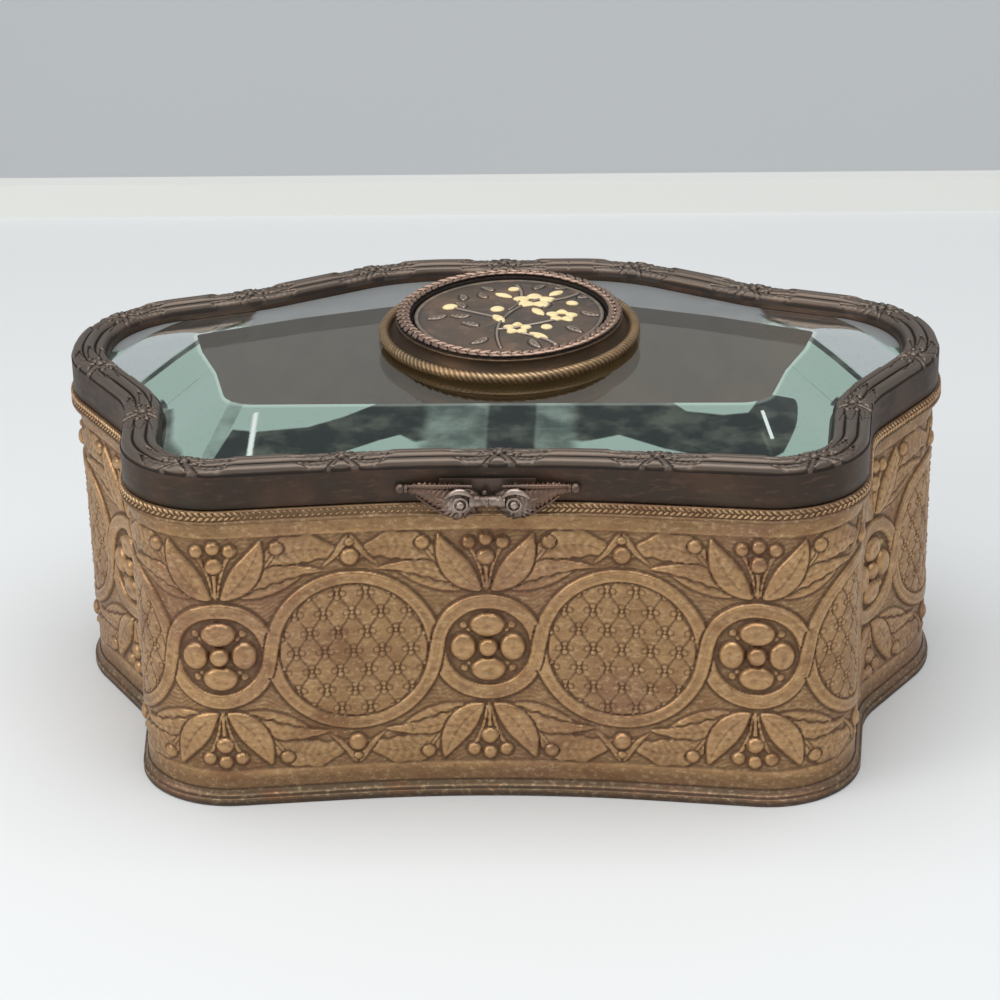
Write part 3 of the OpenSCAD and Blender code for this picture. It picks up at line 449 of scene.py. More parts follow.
ROW_OF_FORMS = row_of_forms()
ROW_UNEVENNESS = 0.08
ROW_SEED = 7


def new_row(name, node, form, places, laid, finish, proud=(0, 0, 1)):
    """One piece of many copies of a form, given as points and faces, at places in millimetres. laid holds
    their turn, lean and size. The form is marked paler where it stands out towards proud, as wear and
    painted highlight, and darker on its other side, as painted shade."""
    points, faces = form
    level = points @ np.array(proud, float)
    rise = (level - level.min()) / np.ptp(level)
    # The rise mark paints the side towards proud paler (wear and painted highlight); the hollow mark paints
    # the other side darker (painted shade).
    shape = new_object(name + "_form", points, faces, {"rise": rise, "hollow": (0.35 - rise) * 0.15})
    marks = {key: np.broadcast_to(numbers, len(places)) for key, numbers in laid.items()}
    carrier = new_object(name + "_places", places, [], marks)
    maker = carrier.modifiers.new("row", "NODES")
    maker.node_group = ROW_OF_FORMS
    wanted = {"Form": shape, "Unevenness": ROW_UNEVENNESS, "Seed": ROW_SEED, "Finish": finish}
    for item in ROW_OF_FORMS.interface.items_tree:
        if item.name in wanted:
            maker[item.identifier] = wanted[item.name]
    depsgraph = bpy.context.evaluated_depsgraph_get()
    mesh = bpy.data.meshes.new_from_object(carrier.evaluated_get(depsgraph))
    for used in (carrier, shape):
        bpy.data.objects.remove(used)
    mesh.name = name
    settle(in_scene(bpy.data.objects.new(name, mesh)), node)


class Relief:
    """A height map of chased ornament in millimetres, laid form over form on a grid."""

    def __init__(self, across, up):
        self.u, self.v = np.meshgrid(across, up, indexing="ij") if np.ndim(across) == 1 else (across, up)
        self.height = np.zeros_like(self.u)
        self.raised = np.zeros_like(self.u)

    def lay(self, inside, height, trench=0.13, edge=0.4, where=None):
        """Lays a form: inside is the depth inside its edge, and a trench is chased round it."""
        level = -trench + (height + trench) * ease(inside / edge + 0.35)
        cut = self.height - trench * np.exp(-(np.minimum(inside, 0) / edge) ** 2)
        new = np.where(inside > -0.35 * edge, np.maximum(level, -trench), cut)
        keep = np.ones_like(inside, bool) if where is None else where
        self.height = np.where(keep, new, self.height)
        self.raised = np.where(keep & (inside > 0), 1, self.raised)

    def berry(self, u, v, radius, height, base=0.15):
        """A round berry or boss."""
        away = np.hypot(self.u - u, self.v - v)
        dome = np.sqrt(np.clip(1 - (away / radius) ** 2, 0, 1))
        self.lay(radius - away, base + height * dome, trench=0.2, edge=0.22)

    def stem(self, points, width, height):
        """A rib along a curve."""
        away, share = self.near(points)
        half = width * (0.55 + 0.45 * share)
        self.lay(half - away, height * np.sqrt(np.clip(1 - (away / np.maximum(half, 0.01)) ** 2, 0, 1)),
                 trench=0.1, edge=0.2)

    def near(self, points, signed=False):
        """Distance from a curve of points, and the share of it that lies before the nearest point."""
        curve = np.array(points, float)
        if len(curve) == 3:
            t = np.linspace(0, 1, 33)[:, None]
            curve = (1 - t) ** 2 * curve[0] + 2 * t * (1 - t) * curve[1] + t * t * curve[2]
        best = np.full_like(self.u, 1e9)
        share = np.zeros_like(self.u)
        side = np.ones_like(self.u)
        for i in range(len(curve) - 1):
            a, b = curve[i], curve[i + 1]
            step = b - a
            t = np.clip(((self.u - a[0]) * step[0] + (self.v - a[1]) * step[1]) / (step @ step), 0, 1)
            away = np.hypot(self.u - a[0] - t * step[0], self.v - a[1] - t * step[1])
            nearer = away < best
            best = np.where(nearer, away, best)
            share = np.where(nearer, (i + t) / (len(curve) - 1), share)
            turned = (self.u - a[0]) * step[1] - (self.v - a[1]) * step[0]
            side = np.where(nearer, np.sign(turned), side)
        return (best * side, share) if signed else (best, share)

    def leaf(self, base, bend, tip, width, height, veins=7, fullness=0.75, lobes=0):
        """A pointed leaf along a bent midrib, with chased veins and, if asked, a lobed edge."""
        across, share = self.near([base, bend, tip], signed=True)
        half = width * np.sin(np.pi * np.clip(share, 0, 1) ** fullness) ** 0.8
        half = np.where(share >= 1, -1, half)
        away = np.abs(across)
        if lobes:
            half = half * (1 - 0.16 * (1 + np.cos(2 * np.pi * lobes * share)) / 2)
        rise = np.sqrt(np.clip(1 - (away / np.maximum(half, 0.05)) ** 2, 0, 1))
        slanted = np.sin(2 * np.pi * (veins * share - 0.9 * away / width))
        ribbed = height * (0.45 + 0.55 * rise) + 0.05 * slanted * rise
        midrib = 0.2 * height * np.exp(-(across / 0.2) ** 2)
        self.lay(half - away, ribbed - midrib, trench=0.16)

    def smooth(self, spread):
        """Rounds every edge a little."""
        self.height = blurred(self.height, spread)


def blurred(field, spread, wrap=True):
    """A field blurred by a bell curve whose spread is in cells, wrapping round its first axis."""
    reach = max(1, int(3 * spread))
    weights = np.exp(-0.5 * (np.arange(-reach, reach + 1) / spread) ** 2)
    weights /= weights.sum()
    for axis, mode in ((0, "wrap" if wrap else "edge"), (1, "edge")):
        padded = np.pad(field, [(reach, reach) if a == axis else (0, 0) for a in (0, 1)], mode=mode)
        size = field.shape[axis]
        field = sum(w * np.take(padded, np.arange(i, i + size), axis=axis) for i, w in enumerate(weights))
    return field


def repeated(tile, first, period, stops):
    """Columns of a tile that repeats, at distances along a line. Its middle falls on first."""
    phase = np.mod(stops - first + period / 2, period) / period * len(tile)
    low = np.floor(phase).astype(int) % len(tile)
    share = (phase - np.floor(phase))[:, None]
    return tile[low] * (1 - share) + tile[(low + 1) % len(tile)] * share


# The stamped pattern: flowers and lattices alternate, and two bands weave round them
ROUNDELS = 19
PITCH = 2 * WALL_LINE.length / ROUNDELS
FIRST_FLOWER = -1.3
ZONE_LOW, ZONE_HIGH = 6.6, 57.3
PLAIN_RISE = 0.28
FLOWER_RING = 9.65
LATTICE_RING = 15.6
FLOWER_BAND = 1.6
LATTICE_BAND = 1.3
LATTICE_STEP = (2.75, 4.1)
BEADS = ((1.1, 0), (-1.1, 0), (0, 0.85), (0, -0.85), (0, 0))


def band_curve(side, lattice_side):
    """The middle of one band across a tile: over the flower, then under the lattice, or mirrored."""
    tangent = math.acos((FLOWER_RING + LATTICE_RING) / (PITCH / 2))
    flower_arc = [(FLOWER_RING * math.cos(a), side * FLOWER_RING * math.sin(a))
                  for a in np.linspace(math.pi - tangent, tangent, 40)]
    lattice_arc = [(lattice_side * PITCH / 2 - lattice_side * LATTICE_RING * math.cos(a),
                    -side * LATTICE_RING * math.sin(a))
                   for a in np.linspace(tangent, math.pi / 2, 30)]
    if lattice_side > 0:
        return flower_arc + lattice_arc
    return lattice_arc[::-1] + flower_arc


CROSSING = PITCH / 2 * FLOWER_RING / (FLOWER_RING + LATTICE_RING)


def lay_band(relief, side, lattice_side, where=None, lift=0):
    """Half of one band: flat, with a fine raised line along each edge, and narrower round the lattice."""
    away = relief.near(band_curve(side, lattice_side))[0]
    half = FLOWER_BAND + (LATTICE_BAND - FLOWER_BAND) * ease((np.abs(relief.u) - CROSSING) / 4 + 0.5)
    inside = half - away
    level = 0.55 + 0.12 * np.exp(-((inside - 0.35) / 0.18) ** 2) + 0.03 * np.sin(2 * np.pi * inside / 0.62)
    relief.lay(inside, level + lift, trench=0.16, where=where)


def lay_crossing(relief, side, lattice_side):
    """The piece of a band that passes over the other one, beside the flower."""
    near = np.hypot(relief.u - lattice_side * CROSSING, relief.v)
    lay_band(relief, side, lattice_side, where=near < 5, lift=0.12 * ease((4.5 - near) / 3))


def lay_lattice(relief, middle):
    """Cushioned lozenges with a rosette of beads where their lines cross."""
    u, v = relief.u - middle, relief.v
    inside = LATTICE_RING - LATTICE_BAND - np.hypot(u, v)
    a = (u / LATTICE_STEP[0] + v / LATTICE_STEP[1]) / 2
    b = (u / LATTICE_STEP[0] - v / LATTICE_STEP[1]) / 2
    da, db = a - np.round(a), b - np.round(b)
    width = 2 * LATTICE_STEP[0] * LATTICE_STEP[1] / math.hypot(*LATTICE_STEP)
    line = np.minimum(np.abs(da), np.abs(db)) * width
    level = 0.28 + 0.12 * np.sqrt(np.clip(line / (width / 2), 0, 1)) - 0.2 * np.exp(-(line / 0.2) ** 2)
    x = (da + db) * LATTICE_STEP[0]
    y = (da - db) * LATTICE_STEP[1]
    for k, (bead_x, bead_y) in enumerate(BEADS):
        away = np.hypot(x - bead_x, y - bead_y)
        radius = 0.48 if k < 4 else 0.3
        level -= 0.22 * np.exp(-((away - radius - 0.12) / 0.16) ** 2)
        level = np.where(away < radius, 0.12 + 0.46 * np.sqrt(1 - np.minimum(away / radius, 1) ** 2), level)
    relief.lay(inside, level, trench=0.1, edge=0.4)


def lay_flower(relief):
    """A sunk disc with four domed petals round a boss, and beads between them."""
    away = np.hypot(relief.u, relief.v)
    relief.lay(FLOWER_RING - FLOWER_BAND - away, -0.22 + 0 * away, trench=0.3)
    for k in range(4):
        corner = unit(np.array((k + 0.5) * math.pi / 2))
        relief.berry(6.5 * corner[0], 6.5 * corner[1], 0.75, 0.35, base=-0.15)
        relief.berry(5.1 * corner[0], 5.1 * corner[1], 0.5, 0.3, base=-0.15)
    for k in range(4):
        angle = k * math.pi / 2
        along = relief.u * math.cos(angle) + relief.v * math.sin(angle)
        across = -relief.u * math.sin(angle) + relief.v * math.cos(angle)
        egg = np.hypot((along - 4.75) / 2.55, across / (2.9 if k % 2 == 0 else 3.45))
        dome = np.sqrt(np.clip(1 - egg ** 2, 0, 1))
        scoop = 0.3 * np.exp(-(across / 1.5) ** 2 - ((along - 5.0) / 0.8) ** 2)
        relief.lay((1 - egg) * 2.7, 0.1 + 1.15 * dome - scoop, trench=0.3, edge=0.25)
    boss = np.sqrt(np.clip(1 - (away / 1.95) ** 2, 0, 1)) ** 0.8
    relief.lay(1.95 - away, 0.2 + 1.2 * boss, trench=0.5, edge=0.25)


def lay_spray(relief, up):
    """The fan of leaves and berries over the flower (up = 1) or under it (up = -1)."""
    for side in (-1, 1):
        relief.leaf((8.2 * side, 17.2 * up), (16 * side, 25.6 * up), (24.8 * side, 19.4 * up),
                    3.4, 0.5, veins=11, fullness=0.8, lobes=4)
        relief.leaf((4.6 * side, 12.4 * up), (12 * side, 14.6 * up), (17.6 * side, 17.4 * up),
                    1.6, 0.4, veins=8, fullness=0.8)
        relief.leaf((1.6 * side, 12.4 * up), (9.6 * side, 18.6 * up), (20.6 * side, 17.2 * up),
                    2.1, 0.6, veins=12, fullness=0.75, lobes=6)
        relief.stem([(3 * side, 13.6 * up), (9.4 * side, 17.0 * up), (11.8 * side, 21.9 * up)], 0.42, 0.5)
        relief.berry(12.0 * side, 22.4 * up, 1.45, 0.8)
        relief.leaf((0.9 * side, 12.2 * up), (6.9 * side, 16.2 * up), (9.0 * side, 24.2 * up),
                    2.8, 0.85, veins=8, fullness=0.9)
        relief.stem([(0.5 * side, 12.8 * up), (1.0 * side, 18.2 * up), (3.1 * side, 21.3 * up)], 0.42, 0.5)
        relief.berry(3.15 * side, 22.2 * up, 1.4, 0.85)
    relief.stem([(0, 12.4 * up), (0, 15.2 * up), (0, 18.4 * up)], 0.5, 0.6)
    relief.berry(0, 22.9 * up, 1.45, 0.9)
    relief.berry(0, 19.2 * up, 1.75, 1.05)


def lay_drop(relief, middle, up):
    """The berry over or under a lattice, in a small cap."""
    for side in (-1, 1):
        relief.leaf((middle + 0.3 * side, 24.4 * up), (middle + 1.3 * side, 21.4 * up),
                    (middle + 5.4 * side, 17.9 * up), 0.75, 0.45, veins=3)
    relief.berry(middle, 19.9 * up, 1.85, 1.05)
    relief.berry(middle, 22.9 * up, 0.9, 0.6)


def stamped_tile():
    """One period of the stamped pattern round a flower: where its rows lie, and its relief."""
    half = (ZONE_HIGH - ZONE_LOW) / 2
    across = np.linspace(-PITCH / 2, PITCH / 2, 256, endpoint=False)
    up = np.linspace(-half, half, 250)
    relief = Relief(across, up)
    strokes = np.abs(relief.v) - 0.3 * np.abs(relief.u) + 0.5 * np.sin(relief.u * 0.9)
    relief.height += 0.04 * np.sin(2 * np.pi * strokes / 0.9)
    for way in (-1, 1):
        lay_spray(relief, way)
        for end in (-1, 1):
            lay_drop(relief, end * PITCH / 2, way)
    for end in (-1, 1):
        lay_lattice(relief, end * PITCH / 2)
    for side in (-1, 1):
        for lattice_side in (-1, 1):
            lay_band(relief, side, lattice_side)
    lay_crossing(relief, 1, -1)
    lay_crossing(relief, -1, 1)
    lay_flower(relief)
    ledge = ease((np.abs(relief.v) - half + 0.7) / 0.5)
    relief.height = relief.height * (1 - ledge) + PLAIN_RISE * ledge
    relief.smooth(0.5)
    return up, relief.height


WALL_PIECES = ("front", "right", "back_right", "back_left", "left")
WALL_STEP = 0.27
SEAM_HALF = 0.5
LEAF_ROOM = 1.4
LEAF_FADE = 1.2
# How dirt gathers in broad hollows and in fine creases: the share of each, and how wide it looks round
WALL_CREASES = ((0.4, 2.6), (1.1, 0.8))


def wall_relief(stops, heights):
    """Heights of the stamped wall over its background, at distances along it and heights up it."""
    up, tile = stamped_tile()
    from_front = np.mod(stops + WALL_LINE.length / 2, WALL_LINE.length) - WALL_LINE.length / 2
    columns = repeated(tile, FIRST_FLOWER, PITCH, from_front)
    middle = (ZONE_LOW + ZONE_HIGH) / 2
    rows = np.array([np.interp(heights - middle, up, column) for column in columns])
    plain = ease((np.abs(heights - middle) - (ZONE_HIGH - ZONE_LOW) / 2 + 0.4) / 0.4)[None, :]
    rows = rows * (1 - plain) + PLAIN_RISE * plain
    from_seam = np.abs(np.mod(stops, WALL_LINE.length) - WALL_LINE.length / 2)[:, None]
    flat = 1 - ease((from_seam - SEAM_HALF) / 0.8)
    leaf_bottom = node_box("hinge_leaf_case")[0][2]
    beside_leaf = ease((HINGE_HALF + LEAF_ROOM - from_seam) / LEAF_FADE)
    behind_leaf = beside_leaf * ease((heights - leaf_bottom + LEAF_ROOM) / LEAF_FADE)
    seam = 0.25 * np.exp(-(from_seam / 0.2) ** 2)
    rows = rows * (1 - flat) + PLAIN_RISE * flat - seam
    return rows * (1 - behind_leaf)


def stamped_wall():
    """The wall in five pieces, each with its stamped face and its plain back."""
    zone = np.arange(ZONE_LOW - 0.4, ZONE_HIGH + 0.5, WALL_STEP)
    heights = np.concatenate([[PLATE_TOP], np.linspace(PLATE_TOP + 1, ZONE_LOW - 0.8, 5), zone,
                              np.linspace(ZONE_HIGH + 0.9, WALL_TOP, 5)])
    count = int(WALL_LINE.length / len(WALL_PIECES) / WALL_STEP)
    start = -WALL_LINE.length / len(WALL_PIECES) / 2
    stops = start + np.linspace(0, WALL_LINE.length, count * len(WALL_PIECES) + 1)
    rise = wall_relief(stops, heights)
    hollow = sum(share * (blurred(rise, spread, wrap=False) - rise) for share, spread in WALL_CREASES)
    # Painted shade: darker along the plain strip at the bottom and just under the rim.
    hollow += 0.06 * ease((ZONE_LOW - 0.4 - heights) / 1.2) + 0.3 * ease((heights - WALL_TOP + 0.7) / 0.5)
    for number, name in enumerate(WALL_PIECES):
        part = slice(number * count, (number + 1) * count + 1)
        columns = count + 1
        section = np.empty((columns, len(heights) + 2, 2))
        section[:, :-2, 0] = WALL_OUT + rise[part]
        section[:, :-2, 1] = heights
        section[:, -2] = WALL_BACK, WALL_TOP
        section[:, -1] = WALL_BACK, PLATE_TOP
        marks = {key: np.pad(field[part], [(0, 0), (0, 2)])
                 for key, field in (("rise", rise), ("hollow", hollow))}
        new_piece("side_wall_" + name, "side_wall", sweep_points(WALL_LINE, stops[part], section),
                  strip_faces(columns, len(heights) + 2), GILT, sharp=75, marks=marks)


def worn_brass(name, light, middle, dark, metal, roughness, scale, dents=0.04):
    """Aged brass: cloudy patches, darker hollows and brighter high places, from the piece's own marks. The
    darker hollows are dirt and, where the marks carry it, painted shade; the brighter high places are wear
    with a little painted highlight.
    """
    light, middle, dark = srgb(*light), srgb(*middle), srgb(*dark)

    def build(nodes, place):
        rise = nodes.mark("rise")
        hollow = nodes.mark("hollow")
        clouds = nodes.noise(place, 55 * scale, 4)
        streaks = nodes.noise(nodes.stretched(place, (1, 1, 3)), 160 * scale, 5, 0.6)
        grain = nodes.noise(place, 1500, 3, 0.7)
        scratches = nodes.noise(nodes.stretched(place, (1, 1, 1.6)), 760, 4, 0.7)
        # Lighter where worn, and a little lighter on high places as painted highlight.
        worn = (hollow * -4 + rise * 0.25 + clouds * 0.6 + streaks * 0.5 - 0.3).between(0.1, 0.8)
        # Darker in hollows: dirt, and painted shade where the hollow mark carries it.
        grime_and_shade = (hollow * 5 - rise * 0.5 + clouds * 0.5).between(0.1, 1.0)
        tone = nodes.mix(worn, middle, light)
        rubs = nodes.noise(nodes.stretched(place, (1, 1, 1.6)), 95 * scale, 5, 0.65)
        tone = nodes.mix(rubs.between(0.5, 0.66) * 0.7, tone, srgb(132, 94, 66))
        pink = nodes.noise(place, 34 * scale, 3).between(0.5, 0.68)
        tone = nodes.mix(pink * 0.4, tone, srgb(150, 112, 92))
        tone = nodes.mix(scratches.between(0.52, 0.66) * 0.45, tone, srgb(214, 184, 142))
        tone = nodes.mix((1 - scratches).between(0.52, 0.68) * 0.5, tone, srgb(112, 80, 56))
        tone = nodes.mix(grime_and_shade * 0.65, tone, dark)
        rough = roughness + grime_and_shade * 0.18 - worn * 0.08 + grain * 0.08
        return {"Base Color": tone, "Roughness": rough, "Metallic": metal - grime_and_shade * 0.35,
                "Normal": bump(nodes, grain * 0.4 + streaks * 0.8 + scratches * 0.8, 0.7, dents)}
    return material(name, build)


# The finishes, with their tones as screen colours
GILT = worn_brass("gilt_stamped_brass", (186, 147, 104), (148, 116, 82), (84, 56, 38), 0.8, 0.42, 1, 0.09)
GILT_PLAIN = worn_brass("gilt_rolled_brass", (166, 136, 96), (134, 106, 76), (84, 62, 44), 0.8, 0.4, 1.2)
BASE_GILT = worn_brass("gilt_base_strip", (138, 118, 92), (112, 94, 74), (52, 40, 32), 0.8, 0.42, 1.2)
BRAID_GILT = worn_brass("gilt_braid", (196, 162, 122), (150, 118, 86), (54, 40, 30), 0.8, 0.4, 1.2)


def patinated(name, base, warm, pale, metal, roughness, dents=0.05):
    """Dark patinated bronze with warm and greenish clouds, paler on what stands proud as wear and painted
    highlight, and darker in hollows as patina and, where the marks carry it, painted shade.
    """
    base, warm, pale = srgb(*base), srgb(*warm), srgb(*pale)

    def build(nodes, place):
        rise = nodes.mark("rise")
        hollow = nodes.mark("hollow")
        clouds = nodes.noise(place, 70, 4)
        specks = nodes.noise(place, 420, 4, 0.65)
        grain = nodes.noise(place, 1800, 2, 0.6)
        tone = nodes.mix(clouds.between(0.42, 0.66), base, warm)
        tone = nodes.mix(nodes.noise(place, 45, 2).between(0.55, 0.75) * 0.5, tone, srgb(74, 76, 66))
        scuffs = nodes.noise(nodes.stretched(place, (1, 1, 4)), 260, 5, 0.65)
        tone = nodes.mix(scuffs.between(0.52, 0.66) * 0.5, tone, tuple(1.4 * c for c in warm))
        # Paler where the piece stands proud: wear and painted highlight.
        wear_and_highlight = (rise * 0.7 - hollow * 5 + specks * 0.7 - 0.4).between(0.15, 0.8)
        tone = nodes.mix(wear_and_highlight * 0.75, tone, pale)
        # Darker in hollows: patina, and painted shade where the hollow mark carries it.
        grime_and_shade = (hollow * 7 + specks * 0.3 - 0.1).between(0.1, 0.8)
        tone = nodes.mix(grime_and_shade * 0.8, tone, srgb(30, 24, 20))
        rough = roughness + specks * 0.16 - wear_and_highlight * 0.1 + grime_and_shade * 0.15
        return {"Base Color": tone, "Roughness": rough, "Metallic": metal - grime_and_shade * 0.3,
                "Normal": bump(nodes, specks * 0.7 + grain * 0.3 + scuffs, 0.6, dents)}
    return material(name, build)


UMBER = patinated("umber_bronze", (68, 57, 49), (86, 66, 54), (114, 102, 92), 0.75, 0.44)
# The lift's bright pale tone, laid on its front, is wear and painted highlight.
LIFT_BRONZE = patinated("lift_bronze", (98, 83, 74), (122, 96, 82), (220, 200, 186), 0.85, 0.34)
COPPER = patinated("copper_bronze", (68, 54, 41), (80, 62, 45), (140, 116, 90), 0.8, 0.46)
ROPE_BRONZE = patinated("rope_bronze", (124, 98, 68), (144, 112, 78), (204, 180, 146), 0.8, 0.4)
WREATH_BRONZE = patinated("wreath_bronze", (62, 56, 56), (90, 70, 60), (172, 144, 126), 0.8, 0.4)
PLAQUE = patinated("plaque_bronze", (100, 90, 82), (124, 102, 86), (184, 168, 152), 0.75, 0.46)


def plain_brass(name, tone, shade, roughness, metal=1.0):
    """Turned or rolled brass with fine drawn lines and a few dull clouds."""
    def build(nodes, place):
        clouds = nodes.noise(place, 90, 4)
        lines = nodes.noise(nodes.stretched(place, (0.3, 6, 6)), 600, 3, 0.6)
        colour = nodes.mix(clouds.between(0.4, 0.7), tone, shade)
        return {"Base Color": colour, "Roughness": roughness + clouds * 0.2 + lines * 0.1 - 0.1,
                "Normal": bump(nodes, lines, 0.4, 0.02)}
    return material(name, build, Metallic=metal)


BASE_BRASS = plain_brass("base_sheet_brass", srgb(140, 112, 74), srgb(96, 76, 50), 0.45)
INNER_BRASS = plain_brass("inner_strip_brass", srgb(120, 104, 72), srgb(80, 70, 50), 0.45)
HINGE_BRASS = plain_brass("hinge_brass", srgb(176, 146, 96), srgb(128, 102, 66), 0.35)
STUD_BRASS = plain_brass("stud_brass", srgb(96, 80, 56), srgb(60, 52, 40), 0.4)


def velvet_finish():
    """Short taupe pile, brushed this way and that, with dust on it."""
    def build(nodes, place):
        brushed = nodes.noise(place, 60, 3)
        pile = nodes.noise(place, 2600, 2, 0.7)
        lint = nodes.noise(place, 900, 2).between(0.7, 0.76)
        tone = nodes.mix(brushed.between(0.35, 0.65), srgb(152, 131, 98), srgb(176, 154, 120))
        tone = nodes.mix(pile * 0.3, tone, srgb(112, 98, 74))
        tone = nodes.mix(lint * 0.5, tone, srgb(170, 162, 150))
        return {"Base Color": tone, "Normal": bump(nodes, pile + brushed * 0.5, 0.3, 0.1)}
    return material("taupe_velvet", build, **{
        "Roughness": 0.95, "Sheen Weight": 0.6, "Sheen Roughness": 0.4,
        "Sheen Tint": (*srgb(190, 180, 168), 1)})


def ivory_finish():
    """Cream inlay with faint growth lines and stained pits."""
    def build(nodes, place):
        lines = nodes.noise(nodes.stretched(place, (1, 5, 1)), 420, 3)
        pits = nodes.noise(place, 1300, 2).between(0.68, 0.75)
        tone = nodes.mix(lines.between(0.35, 0.7), srgb(240, 222, 172), srgb(222, 196, 140))
        tone = nodes.mix(pits * 0.6, tone, srgb(160, 110, 70))
        return {"Base Color": tone, "Roughness": 0.32 + lines * 0.12,
                "Normal": bump(nodes, lines, 0.3, 0.02)}
    return material("ivory_inlay", build)


VELVET = velvet_finish()
IVORY = ivory_finish()


GLASS_IOR = 1.52


def glass_finish(name, tint):
    """Polished plate glass with faint scratches and dust. Light that looks for a lamp, and light that
    has met a dull surface, pass straight through it."""
    made, nodes, place = new_material(name)
    scratches = nodes.noise(nodes.stretched(place, (8, 0.6, 1)), 500, 2).between(0.72, 0.78)
    dust = nodes.noise(place, 1400, 2).between(0.74, 0.8)
    shader = nodes.add("ShaderNodeBsdfPrincipled", None, {
        "Base Color": (*tint, 1), "Metallic": 0, "IOR": GLASS_IOR, "Transmission Weight": 1,
        "Specular Tint": (1, 0.91, 0.76, 1),
        "Roughness": dust * 0.12 + scratches * 0.05})["BSDF"]
    clear = nodes.add("ShaderNodeBsdfTransparent", None, {"Color": (*tint, 1)})["BSDF"]
    light = nodes.add("ShaderNodeLightPath")
    passing = light["Is Shadow Ray"].most(light["Is Diffuse Ray"])
    mixed = nodes.add("ShaderNodeMixShader", None, {0: passing, 1: shader, 2: clear})["Shader"]
    nodes.add("ShaderNodeOutputMaterial", None, {"Surface": mixed})
    return made


def bevel_finish():
    """The bevel, with painted reflections: part of it shows a painted reflection of the room, which the
    glass seems to hold and tint, and the rest is painted dark.
    """
    def build(nodes, place):
        held, pale, lamplit, dull = (nodes.mark(key) for key in ("held_light", "pale", "lamplit", "dull"))
        clouds = nodes.noise(place, 130, 4, 0.6)
        specks = nodes.noise(place, 900, 3, 0.6).between(0.55, 0.75)
        # shown is where the bevel holds the painted reflection of the bright room, in mint; elsewhere it is
        # painted dark.
        shown = (held + clouds * 0.36 - 0.18).between(0.25, 0.75)
        mint = nodes.mix(pale, srgb(214, 242, 225), srgb(250, 254, 252))
        mint = nodes.mix(specks * 0.25, mint, srgb(150, 180, 165))
        dark = nodes.mix(clouds.between(0.42, 0.72), srgb(33, 47, 43), srgb(108, 117, 102))
        tone = nodes.mix(shown, dark, mint)
        # The back of the bevel is painted grey and made rougher.
        tone = nodes.mix(dull * 0.9, tone, srgb(170, 172, 172))
        # Painted lamp glints glow through Emission where lamplit is marked.
        return {"Base Color": tone, "Metallic": 0.35 + shown * 0.6,
                "Roughness": 0.04 + specks * 0.1 + dull * 0.55,
                "Emission Color": nodes.mix(lamplit, srgb(0, 0, 0), srgb(196, 204, 196))}
    return material("bevel_glass", build, **{
        "IOR": GLASS_IOR, "Transmission Weight": 0.6, "Emission Strength": 0.6})


GLASS = glass_finish("plate_glass", (0.97, 0.96, 0.89))
GLASS_BEVEL = bevel_finish()

stamped_wall()


# The base moulding and the rim
def base_moulding():
    """A plain step under a hollow, swept round the foot of the case."""
    foot, step = 0.4, 1.5
    section = [(WALL_OUT, 0), (foot - 0.15, 0), (foot, 0.15), (foot, step - 0.35)]
    section += arc(foot - 0.3, step - 0.3, 0.3, 0, 90, 4)
    section += [(0.05, step), (-0.02, step + 0.06)]
    section += arc(0.55, FOOT_TOP - 0.25, 1.1, 236, 180, 6)
    section += [(-0.62, FOOT_TOP - 0.05), (-0.72, FOOT_TOP), (WALL_OUT, FOOT_TOP)]
    section = np.array(section, float)
    stops = WALL_LINE.stops(900)
    level = section[:, 1]
    # Darker along the top where the wall meets it and in the groove at the step.
    dirt_and_shade = 0.16 * (level > FOOT_TOP - 0.12) + 0.12 * (abs(level - step - 0.03) < 0.05)
    # Darkest along the bottom edge: painted shade where the case meets the table.
    dirt_and_shade += 0.3 * (level < 0.2)
    marks = {"rise": np.tile(level / FOOT_TOP * 0.3, len(stops)), "hollow": np.tile(dirt_and_shade, len(stops))}
    new_sweep("base_moulding_round", "base_moulding", WALL_LINE, stops, section, BASE_GILT, 35, marks)


def rim_border():
    """The proud strip over the wall and the flange that covers the wall's top."""
    half = PIN_END + 0.3
    strip = [(LINING_OUT, WALL_TOP), (WALL_OUT + 0.05, WALL_TOP), (WALL_OUT + 0.05, RIM_BOTTOM)]
    strip += [(RIM_OUT - 0.3, RIM_BOTTOM), (RIM_OUT - 0.1, RIM_BOTTOM + 0.05)]
    strip += [(RIM_OUT, RIM_BOTTOM + 0.2), (RIM_OUT, RIM_BOTTOM + 0.5), (RIM_OUT - 0.12, RIM_BOTTOM + 0.66)]
    strip += [(RIM_OUT - 0.36, RIM_BOTTOM + 0.8), (RIM_OUT - 0.36, RIM_TOP - 0.2), (RIM_OUT - 0.6, RIM_TOP)]
    strip += [(RIM_OUT - 0.95, RIM_TOP), (LINING_OUT, RIM_TOP)]
    strip = np.array(strip, float)
    cut = strip.copy()
    cut[:, 0] = np.minimum(cut[:, 0], WALL_OUT - 0.02)
    cut[:, 1] = np.maximum(cut[:, 1], WALL_TOP)
    middle = WALL_LINE.length / 2
    plain = np.linspace(-middle + half, middle - half, 900)
    stops = np.append(plain, [middle - half, middle + half])
    section = np.concatenate([np.repeat(strip[None], len(plain), 0), np.repeat(cut[None], 2, 0)])
    # The rim's underside is darkened as painted shade; the rest, but its outermost face, is a little
    # darker.
    dirt_and_shade = np.where(strip[:, 1] < RIM_BOTTOM + 0.1, 0.3, np.where(strip[:, 0] == RIM_OUT, 0, 0.07))
    marks = {"rise": np.zeros(section.shape[:2]), "hollow": np.tile(dirt_and_shade, (len(stops), 1))}
    new_sweep("rim_border_strip", "rim_border", WALL_LINE, stops, section, GILT_PLAIN, 35, marks)


